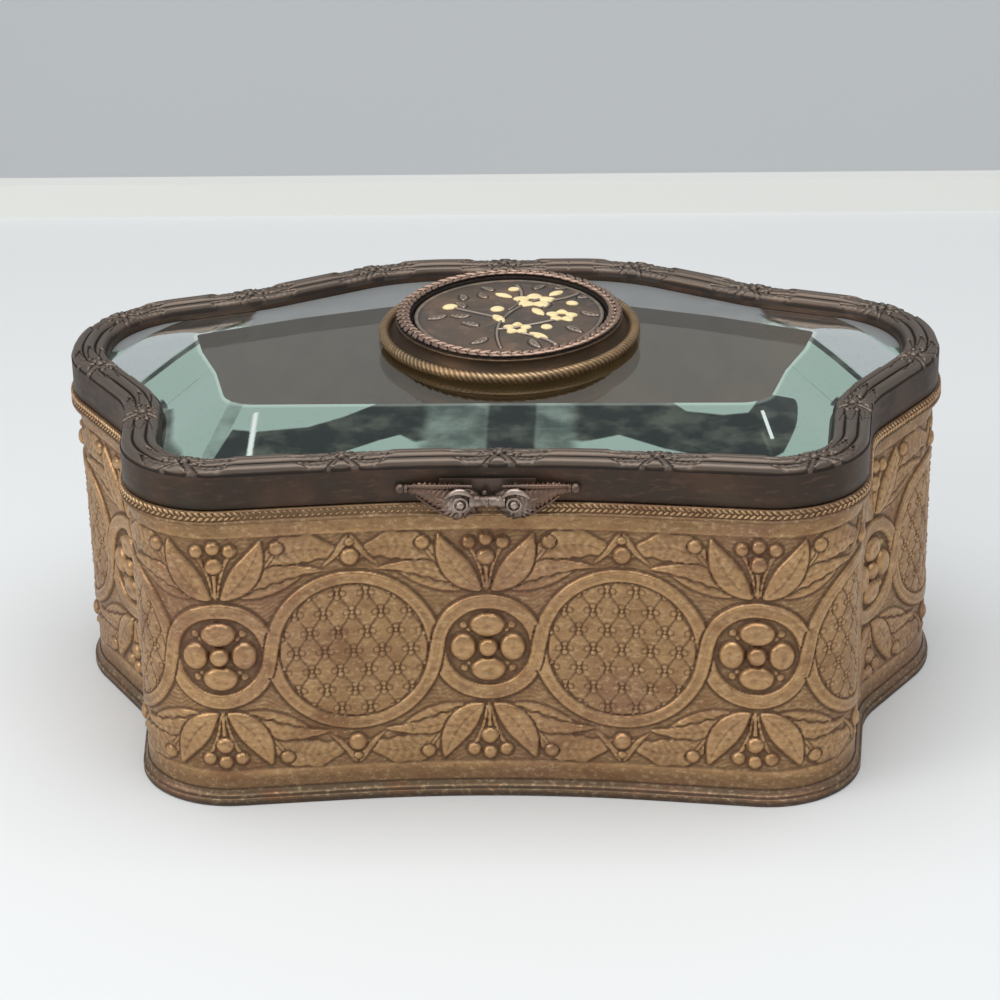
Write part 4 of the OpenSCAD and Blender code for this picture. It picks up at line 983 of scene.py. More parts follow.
def rim_braid():
    """Two rows of slanted beads under the rim's edge, worn flat towards the left of the front."""
    step = 1.15
    half = PIN_END + 0.6
    count = int((WALL_LINE.length - 2 * half) / step)
    stops = (np.arange(count) + 0.5) * step - count * step / 2
    worn = 1 - 0.5 * ease((32 - np.abs(stops + 20)) / 8)
    middle = (RIM_BOTTOM + 0.8 + RIM_TOP) / 2
    reach = (RIM_TOP - RIM_BOTTOM - 0.8) / 4
    places, turns, leans = [], [], []
    for row in (-1, 1):
        base, outward = WALL_LINE.at(stops + 0.25 * step * row)
        places.append(raised(base + outward * (RIM_OUT - 0.3), middle + reach * row))
        turns.append(heading_of(outward))
        leans.append(np.full(count, 0.6 * row))
    bead = egg((0, 0, 0), (0.76, 0.3, 0.27), 8, 5)
    laid = {"turn": np.concatenate(turns), "lean": np.concatenate(leans), "size": np.tile(worn, 2)}
    new_row("rim_border_braid", "rim_border", bead, np.concatenate(places), laid, BRAID_GILT,
            proud=(0, -1, 0))


base_moulding()
rim_border()
rim_braid()


# The lid's frame
REED_R, REED_PITCH = 1.2, 2.25
REED_HEIGHTS = (0.2, 0.6, 0.1)
TIE_SPACING = FRAME_LINE.length / 16
TIE_FIRST = 1.6
# The tie's ground over the reeds: its height at the middle and its fall with the square of the distance
TIE_CROWN, TIE_FALL = 0.75, 0.045
INNER_EDGE_DROP = 0.35
BARREL_ROOM = 2.15


def reed_heights(out):
    """Heights of the three reeds over the band's top, at distances outside the outline."""
    height = np.full_like(out, -0.45)
    for k, rise in enumerate(REED_HEIGHTS):
        middle = -1.2 * REED_R - k * REED_PITCH
        dome = rise + np.sqrt(np.clip(REED_R ** 2 - (out - middle) ** 2, 0, None))
        height = np.where(np.abs(out - middle) < REED_R, np.maximum(height, dome), height)
    return height


def lay_tie(relief, at):
    """Crossed ribbons round the reeds, leaves that lie along them to both sides, and a few berries."""
    middle = FRAME_IN / 2
    for side in (-1, 1):
        relief.leaf((at + 1.2 * side, middle - 1.2), (at + 4.5 * side, middle - 3.6),
                    (at + 9.6 * side, middle - 2.3), 1.25, 0.55, veins=6)
        relief.leaf((at + 1.2 * side, middle + 1.2), (at + 4.2 * side, middle + 3.4),
                    (at + 8.8 * side, middle + 2.0), 1.25, 0.55, veins=6)
        relief.leaf((at + 1.0 * side, middle), (at + 5 * side, middle + 0.6 * side),
                    (at + 10.4 * side, middle), 1.1, 0.7, veins=6)
    for side in (-1, 1):
        ribbon = [(at + 2.6 * end, middle + 3.9 * end * side) for end in (-1, 0, 1)]
        relief.stem(ribbon, 0.8, 0.7)
    for side in (-1, 1):
        relief.berry(at + 3.4 * side, middle + 0.9, 0.62, 0.7)
        relief.berry(at + 3.2 * side, middle - 1.0, 0.55, 0.6)
    relief.berry(at, middle, 0.95, 0.8, base=0.3)


def tie_tile(out, step):
    """The tie's heights over its crown and where it covers the reeds, over one spacing."""
    along = np.linspace(-TIE_SPACING / 2, TIE_SPACING / 2, int(TIE_SPACING / step), endpoint=False)
    relief = Relief(along, out)
    lay_tie(relief, 0)
    return relief.height, blurred(relief.raised, 0.5)


def lid_frame():
    """The band and the reeded top in four pieces, with the ties laid over the reeds."""
    step = 0.33
    top = np.linspace(-0.08, FRAME_IN + 0.05, 44)
    tie, covers = tie_tile(top, 0.2)
    half = PIN_END + 0.3
    middle = FRAME_LINE.length / 2
    plain = np.linspace(-middle + half, middle - half, int(FRAME_LINE.length / step) // 4 * 4 + 1)
    stops = np.concatenate([plain, np.linspace(middle - half, middle + half, 84)])
    tie, covers = (repeated(tile, TIE_FIRST, TIE_SPACING, stops) for tile in (tie, covers))
    reeds = np.broadcast_to(reed_heights(top), tie.shape)
    crown = TIE_CROWN - TIE_FALL * (top - FRAME_IN / 2) ** 2
    rise = reeds * (1 - covers) + (crown + tie) * covers
    rise = np.maximum(rise, np.minimum(reeds, 0.3))
    inner = ease((top - FRAME_IN - 0.05) / 1.1)
    rise = rise * inner - INNER_EDGE_DROP * (1 - inner)
    hollow = blurred(rise, 2.2, wrap=False) - rise
    band = [(BAND_IN, LIP_BOTTOM), (BAND_IN, LID_BOTTOM), (-0.12, LID_BOTTOM), (0, LID_BOTTOM + 0.12),
            (0, LID_BOTTOM + 2.2), (0, LID_BOTTOM + 4.4), (0, BAND_TOP - 0.25)]
    lip = [(FRAME_IN, BAND_TOP - 0.5), (FRAME_IN, LIP_BOTTOM)]
    rows = len(band) + len(top) + len(lip)
    section = np.empty((len(stops), rows, 2))
    section[:, :len(band)] = band
    section[:, len(band):-2, 0] = top
    section[:, len(band):-2, 1] = BAND_TOP + rise
    section[:, -2:] = lip
    hinge_zone = np.arange(len(stops)) >= len(plain)
    raised = np.maximum(section[hinge_zone][:, :len(band), 1], BARREL_Z + BARREL_ROOM)
    section[hinge_zone, :len(band), 1] = raised
    marks = {"rise": np.zeros((len(stops), rows)), "hollow": np.zeros((len(stops), rows))}
    marks["rise"][:, len(band):-2] = rise
    marks["hollow"][:, len(band):-2] = hollow
    names = ("front_left", "front_right", "back_right", "back_left")
    cuts = np.linspace(0, len(plain) - 1, 5).astype(int)
    ranges = [list(range(a, b + 1)) for a, b in zip(cuts[:-1], cuts[1:])]
    ranges[-1] += list(range(len(plain), len(stops)))
    for number, columns in enumerate(ranges):
        part = np.array(columns)
        new_piece("lid_frame_" + names[(number + 3) % 4], "lid_frame",
                  sweep_points(FRAME_LINE, stops[part], section[part]), strip_faces(len(part), rows), UMBER,
                  sharp=60, marks={key: field[part] for key, field in marks.items()})


lid_frame()


# The glass
def matched_loop(corners, out, each):
    """The same number of points round every corner, so that two outlines can be lofted."""
    line = Outline(corners, 0)
    arcs = np.flatnonzero(line.bends)
    stops = []
    for k in arcs[1:-1]:
        stops.append(line.begins[k] + np.linspace(0, 1, each + 1) * line.lengths[k] * (1 - 1e-9))
    last = line.begins[arcs[-1]] + np.linspace(0, 1, each // 2 + 1)[:-1] * line.lengths[arcs[-1]]
    first = np.linspace(0, 1, each // 2 + 1) * line.lengths[0] * (1 - 1e-9)
    points, outward = line.at(np.concatenate([first, *stops, last]))
    return points + outward * out


def refined(points, step):
    """A closed line of points, with more of them wherever two lie further apart than a step."""
    gaps = np.linalg.norm(np.roll(points[-1], -1, axis=0) - points[-1], axis=1)
    gaps = np.maximum(gaps, np.linalg.norm(np.roll(points[0], -1, axis=0) - points[0], axis=1))
    parts = np.maximum(1, np.ceil(gaps / step)).astype(int)
    share = np.concatenate([np.arange(n) / n for n in parts])
    at = np.repeat(np.arange(len(parts)), parts)
    return [line[at] + share[:, None] * (np.roll(line, -1, axis=0)[at] - line[at]) for line in points]


# The painted dark reflection band in the front bevel, as (x, its lower and its upper edge across the bevel)
DARK_BAND = [(-54, -0.1, -0.1), (-50.6, -0.1, 0.6), (-46, -0.1, 0.56), (-36, 0.02, 0.62), (-29, 0.16, 0.8),
             (-22, 0.36, 1.05), (-18, 0.45, 1.1), (-15, 0.3, 1.1), (17, 0.3, 1.1),
             (24, 0.45, 1.1), (33, 0.22, 1.1), (37, 0.16, 0.86), (44, 0.08, 0.8), (49, 0.08, 0.84),
             (52, 0.1, 1.1), (55, 0.2, 1.0), (58, 0.5, 0.75), (59, 0.6, 0.6)]
# The painted dark reflection bar across a wing's bevel: where it meets the flat top, and the direction that
# it faces
BAR_AT = (64, 8.6)
BAR_FACES = (0.884, 0.468)
BAR_WIDTH = 1.8
LINE_AFTER_BAR = 12.2
FAR_PATCH = 13.5
WING_X = 50
# The front bevel ends at this line; its middle holds a soft painted dark reflection with a half width, a
# fade and a darkness
FRONT_Y = -22.5
DARK_REFLECTION_HALF, DARK_REFLECTION_FADE, DARK_REFLECTION_DEPTH = 19, 6, 0.56
# The painted shade of the lift in the front bevel, and the painted dark reflection line that runs along the
# left mitre
SHADE_X, SHADE_HALF, SHADE_DARK = 3.3, 5, 0.35
MITRE_X, MITRE_LEAN, MITRE_HALF, MITRE_DARK = -54.3, 3.2, 1.9, 0.45
# Painted streaks of lamplight across the front bevel, which glow through Emission, as (x by the frame, x by
# the flat top, half width, from, to)
STREAKS = [(-46, -46.9, 0.42, 0.0, 0.88), (54.5, 51.2, 0.3, 0.42, 0.85)]


def held_light(x, y, across):
    """How far the bevel shows a painted reflection of the bright room, how pale that painted reflection is,
    where painted lamp glints glow, and where its back is painted grey and made duller, at a place in plan
    and across the bevel: 0 by the frame and 1 by the flat top."""
    side = np.abs(x)
    at, low, high = np.array(DARK_BAND).T
    soft = 0.09
    above, below = across - np.interp(x, at, low), np.interp(x, at, high) - across
    band = ease(above / soft + 0.5) * ease(below / soft + 0.5)
    middle = ease((DARK_REFLECTION_HALF - np.abs(x - 1)) / DARK_REFLECTION_FADE)
    band = band * (1 - 0.42 * middle)
    shade = SHADE_DARK * ease((SHADE_HALF - np.abs(x - SHADE_X)) / 1.5) * ease(across / 0.15)
    front = np.maximum(band * ease((60 - side) / 2), DARK_REFLECTION_DEPTH * middle) + shade
    mitre = MITRE_DARK * ease((MITRE_HALF - np.abs(x - MITRE_X - MITRE_LEAN * across)) / 0.6)
    mitre = np.maximum(mitre, 0.6 * ease((0.34 - across) / 0.24) * ease((-57 - x) / 3))
    held = 1 - np.maximum(front, mitre) * ease((FRONT_Y - y) / 1.5)
    beyond = (side - BAR_AT[0]) * BAR_FACES[0] + (y - BAR_AT[1]) * BAR_FACES[1]
    wing = ease((y + 24) / 2) * ease((side - WING_X) / 3)
    bar = ease((BAR_WIDTH / 2 - np.abs(beyond + BAR_WIDTH / 2)) / 0.5 + 0.5) * (0.65 + 0.35 * across)
    line = 0.45 * np.exp(-((beyond + LINE_AFTER_BAR) / 0.3) ** 2)
    edge = 0.75 * ease((0.13 - across) / 0.05) * ease((beyond + 26) / 2) * ease((-beyond - 8) / 3)
    held = held - wing * np.maximum(np.maximum(bar, line), edge)
    patch = ease(beyond / 0.6) * ease((FAR_PATCH - beyond) / 0.8) * ease((side - WING_X) / 4)
    behind = ease((beyond - FAR_PATCH) / 0.8) * ease((y - 8) / 3)
    back = np.maximum(behind, ease((y - 14) / 2) * ease((56 - side) / 3))
    held = held * (1 - back) + 0.45 * back
    lamplit = 0.4 * ease((across - 0.955) / 0.02) * (1 - back)
    for near, far, half, start, end in STREAKS:
        away = np.abs(x - near - across * (far - near))
        streak = ease((half - away) / 0.2 + 0.5) * (across > start) * (across < end) * (y < -22)
        held = held + 2 * streak
        patch, lamplit = np.maximum(patch, streak), np.maximum(lamplit, streak)
    return {"held_light": held, "pale": np.maximum(patch, 0.9 * back), "lamplit": lamplit, "dull": back}


def glass_panel():
    """The bevelled plate: its edge, its land under the frame, the bevel and the flat top, with a hole."""
    low, high = node_box("medallion_stud")
    centre = (low[:2] + high[:2]) / 2
    hole_r = (high[0] - low[0]) / 2 + STUD_PLAY
    plans = [matched_loop(corners, out, 24)
             for corners, out in ((PLAN, GLASS_OUT), (PLAN, FRAME_IN - 0.05), (FLAT, 0))]
    rim, land, flat = refined(plans, 0.4)
    share = np.linspace(0, 1, 36)

    def hole(line):
        away = line - centre
        return centre + hole_r * away / np.linalg.norm(away, axis=1)[:, None]

    loops = [(hole(rim), GLASS_BOTTOM), (rim, GLASS_BOTTOM), (rim, GLASS_LAND)]
    loops += [(land + t * (flat - land), GLASS_LAND + t * (GLASS_TOP - GLASS_LAND)) for t in share]
    loops += [(hole(flat), GLASS_TOP)]
    count = len(rim)
    points = np.concatenate([raised(*loop) for loop in loops])
    # The bevel's painted reflections and glints, as marks at its points.
    seen = {}
    for k, t in enumerate(share):
        part = slice((k + 3) * count, (k + 4) * count)
        for key, row in held_light(points[part, 0], points[part, 1] - SHIFT_Y, t).items():
            seen.setdefault(key, np.zeros(len(points)))[part] = row
    faces = tube_faces(count, len(loops))
    piece = new_piece("glass_plate", "glass_panel", points, faces, GLASS, marks=seen)
    mesh = piece.data
    mesh.materials.append(GLASS_BEVEL)
    of_loop = np.array([edge.vertices[:] for edge in mesh.edges]) // count
    bends = (of_loop[:, 0] == of_loop[:, 1]) & ((of_loop[:, 0] <= 3) | (of_loop[:, 0] >= len(loops) - 2))
    lines = mesh.attributes.get("sharp_edge") or mesh.attributes.new("sharp_edge", "BOOLEAN", "EDGE")
    lines.data.foreach_set("value", bends)
    row = np.arange(len(mesh.polygons)) // count
    mesh.polygons.foreach_set("material_index", np.where((row >= 3) & (row < len(loops) - 2), 1, 0))


glass_panel()


def twisted_cord(name, node, line, out, height, radius, lay, strands, finish):
    """A cord of twisted strands along a line: its ridges lie one lay apart."""
    sides = 18
    stops = line.stops(int(line.length / lay * 7))
    turns = round(line.length / lay)
    angle = np.linspace(0, 2 * np.pi, sides, endpoint=False)
    wave = np.abs(np.sin(np.pi * turns * stops[:, None] / line.length + strands * angle[None, :]))
    reach = radius * (0.8 + 0.2 * wave ** 0.7)
    section = np.stack([out + reach * np.cos(angle), height + reach * np.sin(angle)], axis=-1)
    marks = {"rise": wave * 0.5, "hollow": (0.45 - wave) * 0.12}
    new_sweep(name, node, line, stops, section, finish, 80, marks)


# The medallion
WREATH_Z = node_box("medallion_wreath")[1][2] - 1.5
WREATH_OUT = -5.2
WREATH_BAR_R, WREATH_BAR_FLAT = 1.38, 0.62
WREATH_PAIRS = 66
ROPE_R = 1.15
PLAQUE_T = 1.6
PLAQUE_DOME_R = 220
# The spray's blossoms and buds as (x, y, radius), and its leaves as (x, y, turn)
BLOSSOMS = [(5, 7, 4.6), (11, -2, 3.4), (2, -9.5, 3)]
BUDS = [(-2.5, 1.5, 1.5), (13, 6, 1.3), (8, -8.5, 1.2), (-12.5, 4, 1.6), (0.5, 15, 1.3)]
INLAID_LEAVES = [(6, 0, -60), (-2, -4, 120), (9.5, 12.5, 55), (-1.5, 10.5, 140), (6.5, -13, -35)]


def plaque_height(x, y):
    """Height of the plaque's domed face at a distance from its middle."""
    half = MEDAL_HALF[0] + PLAQUE_OUT
    drop = PLAQUE_DOME_R - math.sqrt(PLAQUE_DOME_R ** 2 - half ** 2)
    return WREATH_Z + drop - PLAQUE_DOME_R + np.sqrt(PLAQUE_DOME_R ** 2 - x ** 2 - y ** 2)


def medallion_dish():
    """The hollow flank that rises from the rope to the wreath, and the channel round the plaque."""
    outer, low = -2 * ROPE_R - 0.05, GLASS_TOP
    seat, foot = WREATH_Z - PLAQUE_T - 0.2, WREATH_Z - PLAQUE_T - 1.1
    flank = [(outer, low), (outer, low + 1.2), (outer - 0.28, low + 1.36), (outer - 0.62, low + 1.7),
             (outer - 0.95, low + 2.2), (outer - 1.2, low + 2.85), (outer - 1.36, WREATH_Z - 0.22)]
    lip = [(outer - 1.3, WREATH_Z), (outer - 1.4, WREATH_Z + 0.16)]
    under_wreath = [(outer - 1.55, WREATH_Z + 0.2), (WREATH_OUT, WREATH_Z + 0.35)]
    channel = [(-6.75, WREATH_Z + 0.1), (-6.85, WREATH_Z - 0.9), (-7.2, WREATH_Z - 1.1)]
    inside = [(-7.2, seat), (-8.6, seat), (-8.6, foot), (-6.0, foot), (outer - 1.1, low)]
    # The lip is marked proud, for a paler tone of wear and painted highlight, and the channel is marked
    # darker.
    parts = ((flank, 0, 0), (lip, 0.8, 0), (under_wreath, 0, 0), (channel, 0, 0.2), (inside, 0, 0))
    section = np.array([point for part, _, _ in parts for point in part])
    stops = MEDAL_LINE.stops(480)
    ring = (sweep_points(MEDAL_LINE, stops, section).reshape(-1, 3), ring_faces(len(stops), len(section)))
    base, outward = MEDAL_LINE.at(MEDAL_LINE.stops(160))
    edge = (base + outward * -8.55)[::-1]
    floor = closed_loft([raised(edge, z) for z in (foot, foot + 1.05)])
    pad = np.zeros(len(floor[0]))
    marks = {key: np.append(np.tile([part[at] for part in parts for _ in part[0]], len(stops)), pad)
             for at, key in ((1, "rise"), (2, "hollow"))}
    new_piece("medallion_dish_round", "medallion_dish", *joined([ring, floor]), COPPER, sharp=50,
              marks=marks)


def leaf_form(length, width, height):
    """A pointed leaf along X with a raised midrib, thick enough to stand on what carries it."""
    share = np.linspace(0.03, 0.97, 7)[:, None]
    half = width * np.sin(np.pi * share ** 0.8)
    crown = height * (0.35 + 0.65 * np.sin(np.pi * share))
    across = np.array([1, 0.6, 0.12, 0, -0.12, -0.6, -1, 0])
    lift = np.array([0, 0.75, 0.82, 1.0, 0.82, 0.75, 0, -0.4])
    along = share * length - length / 2 + 0 * across
    return closed_loft(np.stack([along, half * across, crown * lift], axis=-1))


def medallion_wreath():
    """A low bar covered with pairs of laurel leaves, and a berry between each pair."""
    columns, rows = 400, 9
    section = np.array(arc(WREATH_OUT, WREATH_Z, WREATH_BAR_R, 0, 180, rows))
    section[:, 1] = WREATH_Z + (section[:, 1] - WREATH_Z) * WREATH_BAR_FLAT
    stops = MEDAL_LINE.stops(columns)
    dark = {"rise": np.zeros((columns, rows)), "hollow": np.full((columns, rows), 0.08)}
    new_sweep("medallion_wreath_bar", "medallion_wreath", MEDAL_LINE, stops, section, COPPER, marks=dark)
    stops = MEDAL_LINE.stops(WREATH_PAIRS)
    base, outward = MEDAL_LINE.at(stops)
    places = [raised(base + outward * (WREATH_OUT + 0.62 * side), WREATH_Z + 0.68) for side in (-1, 1)]
    turns = [heading_of(outward) - 0.42 * side for side in (-1, 1)]
    new_row("medallion_wreath_leaves", "medallion_wreath", leaf_form(3.9, 0.78, 0.62),
            np.concatenate(places), {"turn": np.concatenate(turns), "lean": -0.1, "size": 1}, WREATH_BRONZE)
    base, outward = MEDAL_LINE.at(stops + MEDAL_LINE.length / WREATH_PAIRS / 2)
    new_row("medallion_wreath_berries", "medallion_wreath", egg((0, 0, 0), (0.42, 0.42, 0.42), 8, 5),
            raised(base + outward * WREATH_OUT, WREATH_Z + 0.98), {"turn": 0, "lean": 0, "size": 1},
            WREATH_BRONZE)


# The lines of the branch, three points each, and the chased leaves round it as (x, y, turn)
BRANCH = [[(-1, -19), (-5, -4), (6, 8)], [(-2.2, -10), (4, -9), (13, -2)], [(0, 1), (4, 8), (1, 18)],
          [(-3, -3), (-8, 0), (-12.5, 4)], [(3, -12), (8, -14), (10, -17)], [(4, 5), (12, 8), (14, 13)]]
CHASED_LEAVES = [(-6, -8, 150), (-8, -2, 170), (-9.5, 3, 120), (-5, 9, 110), (-4, 14, 130),
                 (5, 15, 60), (9, 16, 40), (14, 10, 20), (15, 1, -20), (12, -8, -40),
                 (5, -15, -60), (-4, -14, 220), (-10, 8, 100), (-13, -1, 200), (7, 2.5, 80)]


def medallion_plaque():
    """The domed plaque, with a chased branch and fine engraved strokes on its ground."""
    rings, columns = 105, 560
    base, outward = MEDAL_LINE.at(MEDAL_LINE.stops(columns))
    edge = base + outward * (PLAQUE_OUT - 0.05) - MEDAL_AT
    share = np.linspace(1, 0.008, rings)[:, None]
    x, y = share * edge[:, 0], share * edge[:, 1]
    relief = Relief(x, y)
    strokes = y * 0.96 + 0.5 * np.sin(x * 0.45 + 0.4 * np.sin(y * 0.6))
    relief.height += 0.035 * np.sin(2 * np.pi * strokes / 0.85)
    for points in BRANCH:
        relief.stem(points, 0.5, 0.28)
    for k, (u, v, way) in enumerate(CHASED_LEAVES):
        ahead, aside = unit(math.radians(way)), unit(math.radians(way + 90))
        start = np.array([u, v])
        relief.leaf(start, start + 2.2 * ahead + (0.7 if k % 2 else -0.7) * aside, start + 4.4 * ahead,
                    0.95, 0.22, veins=4)
    rim = ease((share - 0.955) / 0.015)
    relief.height = relief.height * (1 - rim) + 0.22 * rim
    top = np.stack([x, y, plaque_height(x, y) + relief.height - 0.03], axis=-1)
    foot = raised(edge, WREATH_Z - PLAQUE_T)[None]
    loops = np.concatenate([foot, top])
    sunk = blurred(relief.height.T, 2.2).T - relief.height
    marks = {key: np.pad(field, [(1, 0), (0, 0)])[:, ::-1]
             for key, field in (("rise", 2 * relief.height), ("hollow", sunk))}
    new_piece("medallion_plaque_domed", "medallion_plaque",
              *closed_loft(loops[:, ::-1] + np.append(MEDAL_AT, 0)), PLAQUE, sharp=60, marks=marks)


def pebble(outline, rise):
    """A domed inlay whose outline is given round the plaque's middle."""
    middle = outline.mean(axis=0)
    share = np.cos(np.radians([0, 12, 30, 50, 70, 86]))[:, None, None]
    loops = middle + share * (outline - middle)
    height = plaque_height(loops[..., 0], loops[..., 1]) + rise * np.sqrt(1 - share[..., 0] ** 2)
    loops, height = np.concatenate([loops[:1], loops]), np.concatenate([height[:1] - 0.3, height])
    return closed_loft(np.concatenate([loops + MEDAL_AT, height[..., None]], axis=-1)[:, ::-1])


def medallion_inlays():
    """Ivory blossoms, buds and leaves, each domed."""
    turn = np.linspace(0, 2 * np.pi, 26, endpoint=False)[:, None]
    circle = unit(turn[:, 0])
    parts = []
    for x, y, radius in BLOSSOMS:
        for way in np.radians(np.arange(18, 360, 72)):
            petal = 0.6 * unit(way) + 0.37 * (1 + 0.1 * np.cos(3 * (turn - way))) * circle
            parts.append(pebble(np.array([x, y]) + radius * petal, 0.45))
    for x, y, radius in BUDS:
        parts.append(pebble(np.array([x, y]) + radius * circle, 0.45))
    along, across = 2.4 * np.cos(turn), 1.05 * np.sin(turn) * np.abs(np.sin(turn)) ** 0.6
    for x, y, way in INLAID_LEAVES:
        leaf = along * unit(math.radians(way)) + across * unit(math.radians(way + 90))
        parts.append(pebble(np.array([x, y]) + leaf, 0.4))
    new_piece("medallion_inlay_spray", "medallion_inlays", *joined(parts), IVORY, sharp=60)


medallion_dish()
twisted_cord("medallion_rope_twisted", "medallion_rope", MEDAL_LINE, -ROPE_R, GLASS_TOP + ROPE_R, ROPE_R,
             1.05, 2, ROPE_BRONZE)
medallion_wreath()
medallion_plaque()
medallion_inlays()


# The thumb lift
LIFT_X = -0.5
LIFT_Y = node_box("thumb_lift")[0][1] + 3.5
LIFT_TOP = LID_BOTTOM + 4.2
BAND_FRONT_Y = -55.7 + SHIFT_Y
LIFT_BACK_Y = BAND_FRONT_Y - 1.15
# Half heights of a horn of the lift, by distance from the lift's middle
HORN = [(2.7, 1.3), (3.2, 2.4), (4.2, 3.2), (5.6, 3.45), (7.2, 3.1), (9, 2.5), (11, 1.95), (13, 1.35),
        (14.6, 0.95), (15.6, 0.75)]
# Where an eye, a pearl and the ringed bar stand: along from the lift's middle and down from its top
EYE_X, EYE_DROP = 5, 3.4
PEARL_X, PEARL_DROP = 16.4, 1.35
BAR_DROP = 3.1


def lift_place(x, down, back):
    """A place on the lift: along from its middle, down from its top, and back from its face's line."""
    return LIFT_X + x, LIFT_Y + back, LIFT_TOP - down


def limb(points, radii, flat=1.0, ridges=0, depth=0.0, slant=1.2):
    """A closed limb along a line of points, with feathered ridges on it if asked."""
    points = np.array(points, float)
    share = np.linspace(0, 1, len(points))
    run = np.gradient(points[:, ::2], axis=0)
    run /= np.linalg.norm(run, axis=1)[:, None]
    up = np.stack([-run[:, 1], run[:, 0]], axis=-1)
    angle = np.linspace(0, 2 * np.pi, 20, endpoint=False)
    reach = np.interp(share, np.linspace(0, 1, len(radii)), radii)[:, None]
    if ridges:
        reach = reach * (1 + depth * np.sin(2 * np.pi * (ridges * share[:, None] - slant * np.cos(angle))))
    x = points[:, :1] + reach * np.cos(angle) * up[:, :1]
    y = points[:, 1:2] + flat * reach * np.sin(angle)
    z = points[:, 2:] + reach * np.cos(angle) * up[:, 1:]
    return closed_loft(np.stack([x, y, z], axis=-1))


def bent(a, b, c, count):
    """Points on a bent line from a to c that b pulls aside."""
    t = np.linspace(0, 1, count)[:, None]
    a, b, c = (np.array(p, float) for p in (a, b, c))
    return (1 - t) ** 2 * a + 2 * t * (1 - t) * b + t * t * c


def ring_round(middle, radius, thick):
    """A ring that faces the front."""
    columns, rows = 28, 8
    turn = np.linspace(0, 2 * np.pi, columns, endpoint=False)[:, None]
    angle = np.linspace(0, 2 * np.pi, rows, endpoint=False)
    reach = radius + thick * np.cos(angle)
    forward = -thick * np.sin(angle) + 0 * turn
    points = np.stack([reach * np.cos(turn), forward, reach * np.sin(turn)], axis=-1)
    return points.reshape(-1, 3) + middle, ring_faces(columns, rows)


def lift_horn(side):
    """One feathered horn: its crest and fold, a scroll eye with brow and quills, and a pearl at its tip."""
    def place(x, down, back):
        return lift_place(side * x, down, back)

    across, half = np.array(HORN).T
    run = np.linspace(across[0], across[-1], 110)
    size = np.interp(run, across, half)
    down = 0.15 + size + 0.5 * ease((run - 12) / 3.6)
    spine = np.column_stack(place(run, down, 0.9 * ease((run - 6) / 9)))
    crest = bent(place(2.8, 0.35, -0.9), place(9, 0.25, -1.2), place(15.4, 0.75, 0.3), 70)
    fold = bent(place(3.1, 5.6, -1), place(6.6, 7.9, -1.2), place(13.4, 2.6, 0.2), 50)
    brow = bent(place(2.7, 2.3, -1.8), place(4.9, -0.9, -3), place(7.9, 2.2, -2), 36)
    parts = [limb(spine, size, flat=0.72, ridges=15, depth=0.11, slant=1.3),
             limb(crest, [0.35, 0.5, 0.42, 0.3], ridges=20, depth=0.15, slant=0.3),
             limb(fold, [0.3, 0.42, 0.36, 0.25]),
             egg(place(EYE_X, EYE_DROP, -0.8), (1.7, 1.8, 1.7), 16, 9),
             ring_round(place(EYE_X, EYE_DROP, -2.45), 1.3, 0.26),
             egg(place(EYE_X, EYE_DROP, -2.5), (0.8, 0.6, 0.8), 14, 9),
             limb(brow, [0.34, 0.62, 0.55, 0.3])]
    for k in range(6):
        way = math.radians(-70 + 16 * k)
        length = 1.1 + 0.32 * k
        quill = [place(EYE_X + reach * math.cos(way) + aside, EYE_DROP - reach * math.sin(way), back)
                 for reach, aside, back in ((2.1, 0, -1.85), (2.1 + 0.6 * length, 0, -1.75),
                                            (2.1 + length, 0.5, -1.35 + 0.1 * k))]
        parts.append(limb(bent(*quill, 12), [0.2, 0.34, 0.16]))
    collar = [place(PEARL_X - back, PEARL_DROP, 0.6) for back in (1.4, 0.8)]
    pearl = egg(place(PEARL_X, PEARL_DROP, 0.6), (1.05, 1.05, 1.05), 14, 9)
    return parts + [pearl, limb(collar, [1.05, 0.85])]


def thumb_lift():
    """Two feathered horns, the ringed bar between them, and the pad that stands them off the band."""
    bar = [lift_place(x, BAR_DROP, -1.2) for x in np.linspace(-3.3, 3.3, 60)]
    parts = lift_horn(-1) + lift_horn(1)
    parts.append(limb(bar, [1.4, 1.2, 1.0, 1.05, 1.0, 1.2, 1.4], ridges=5, depth=0.05, slant=0))
    for x, z in ((0, 0), (0, 1), (0, -1), (1, 0), (-1, 0)):
        parts.append(egg(lift_place(0.55 * x, BAR_DROP - 0.55 * z, -2.05), (0.34, 0.3, 0.34)))
    parts.append(egg(lift_place(-0.5, 1.6, -0.9), (0.55, 0.5, 0.55)))
    points, faces = joined(parts)
    points[:, 1] = np.minimum(points[:, 1], LIFT_BACK_Y - 0.03)
    corners = [(-1, -1), (1, -1), (1, 1), (-1, 1)]
    pad = closed_loft([[(LIFT_X + 9 * a, y, LIFT_TOP - 1.3 + 1.9 * b) for a, b in corners]
                       for y in (LIFT_BACK_Y, BAND_FRONT_Y - 0.75)])
    points, faces = joined([(points, faces), pad])
    # Paler towards its front: wear and painted highlight.
    rise = 0.1 + 0.75 * ease((LIFT_Y - 0.6 - points[:, 1]) / 2.6)
    new_piece("thumb_lift_horns", "thumb_lift", points, faces, LIFT_BRONZE, sharp=60,
              marks={"rise": rise, "hollow": 0 * rise})


thumb_lift()


# The velvet inside the case
FLOOR_TOP = node_box("floor_board")[1][2]
LINING_TOP = node_box("wall_lining")[1][2]
CORD_R = 0.9


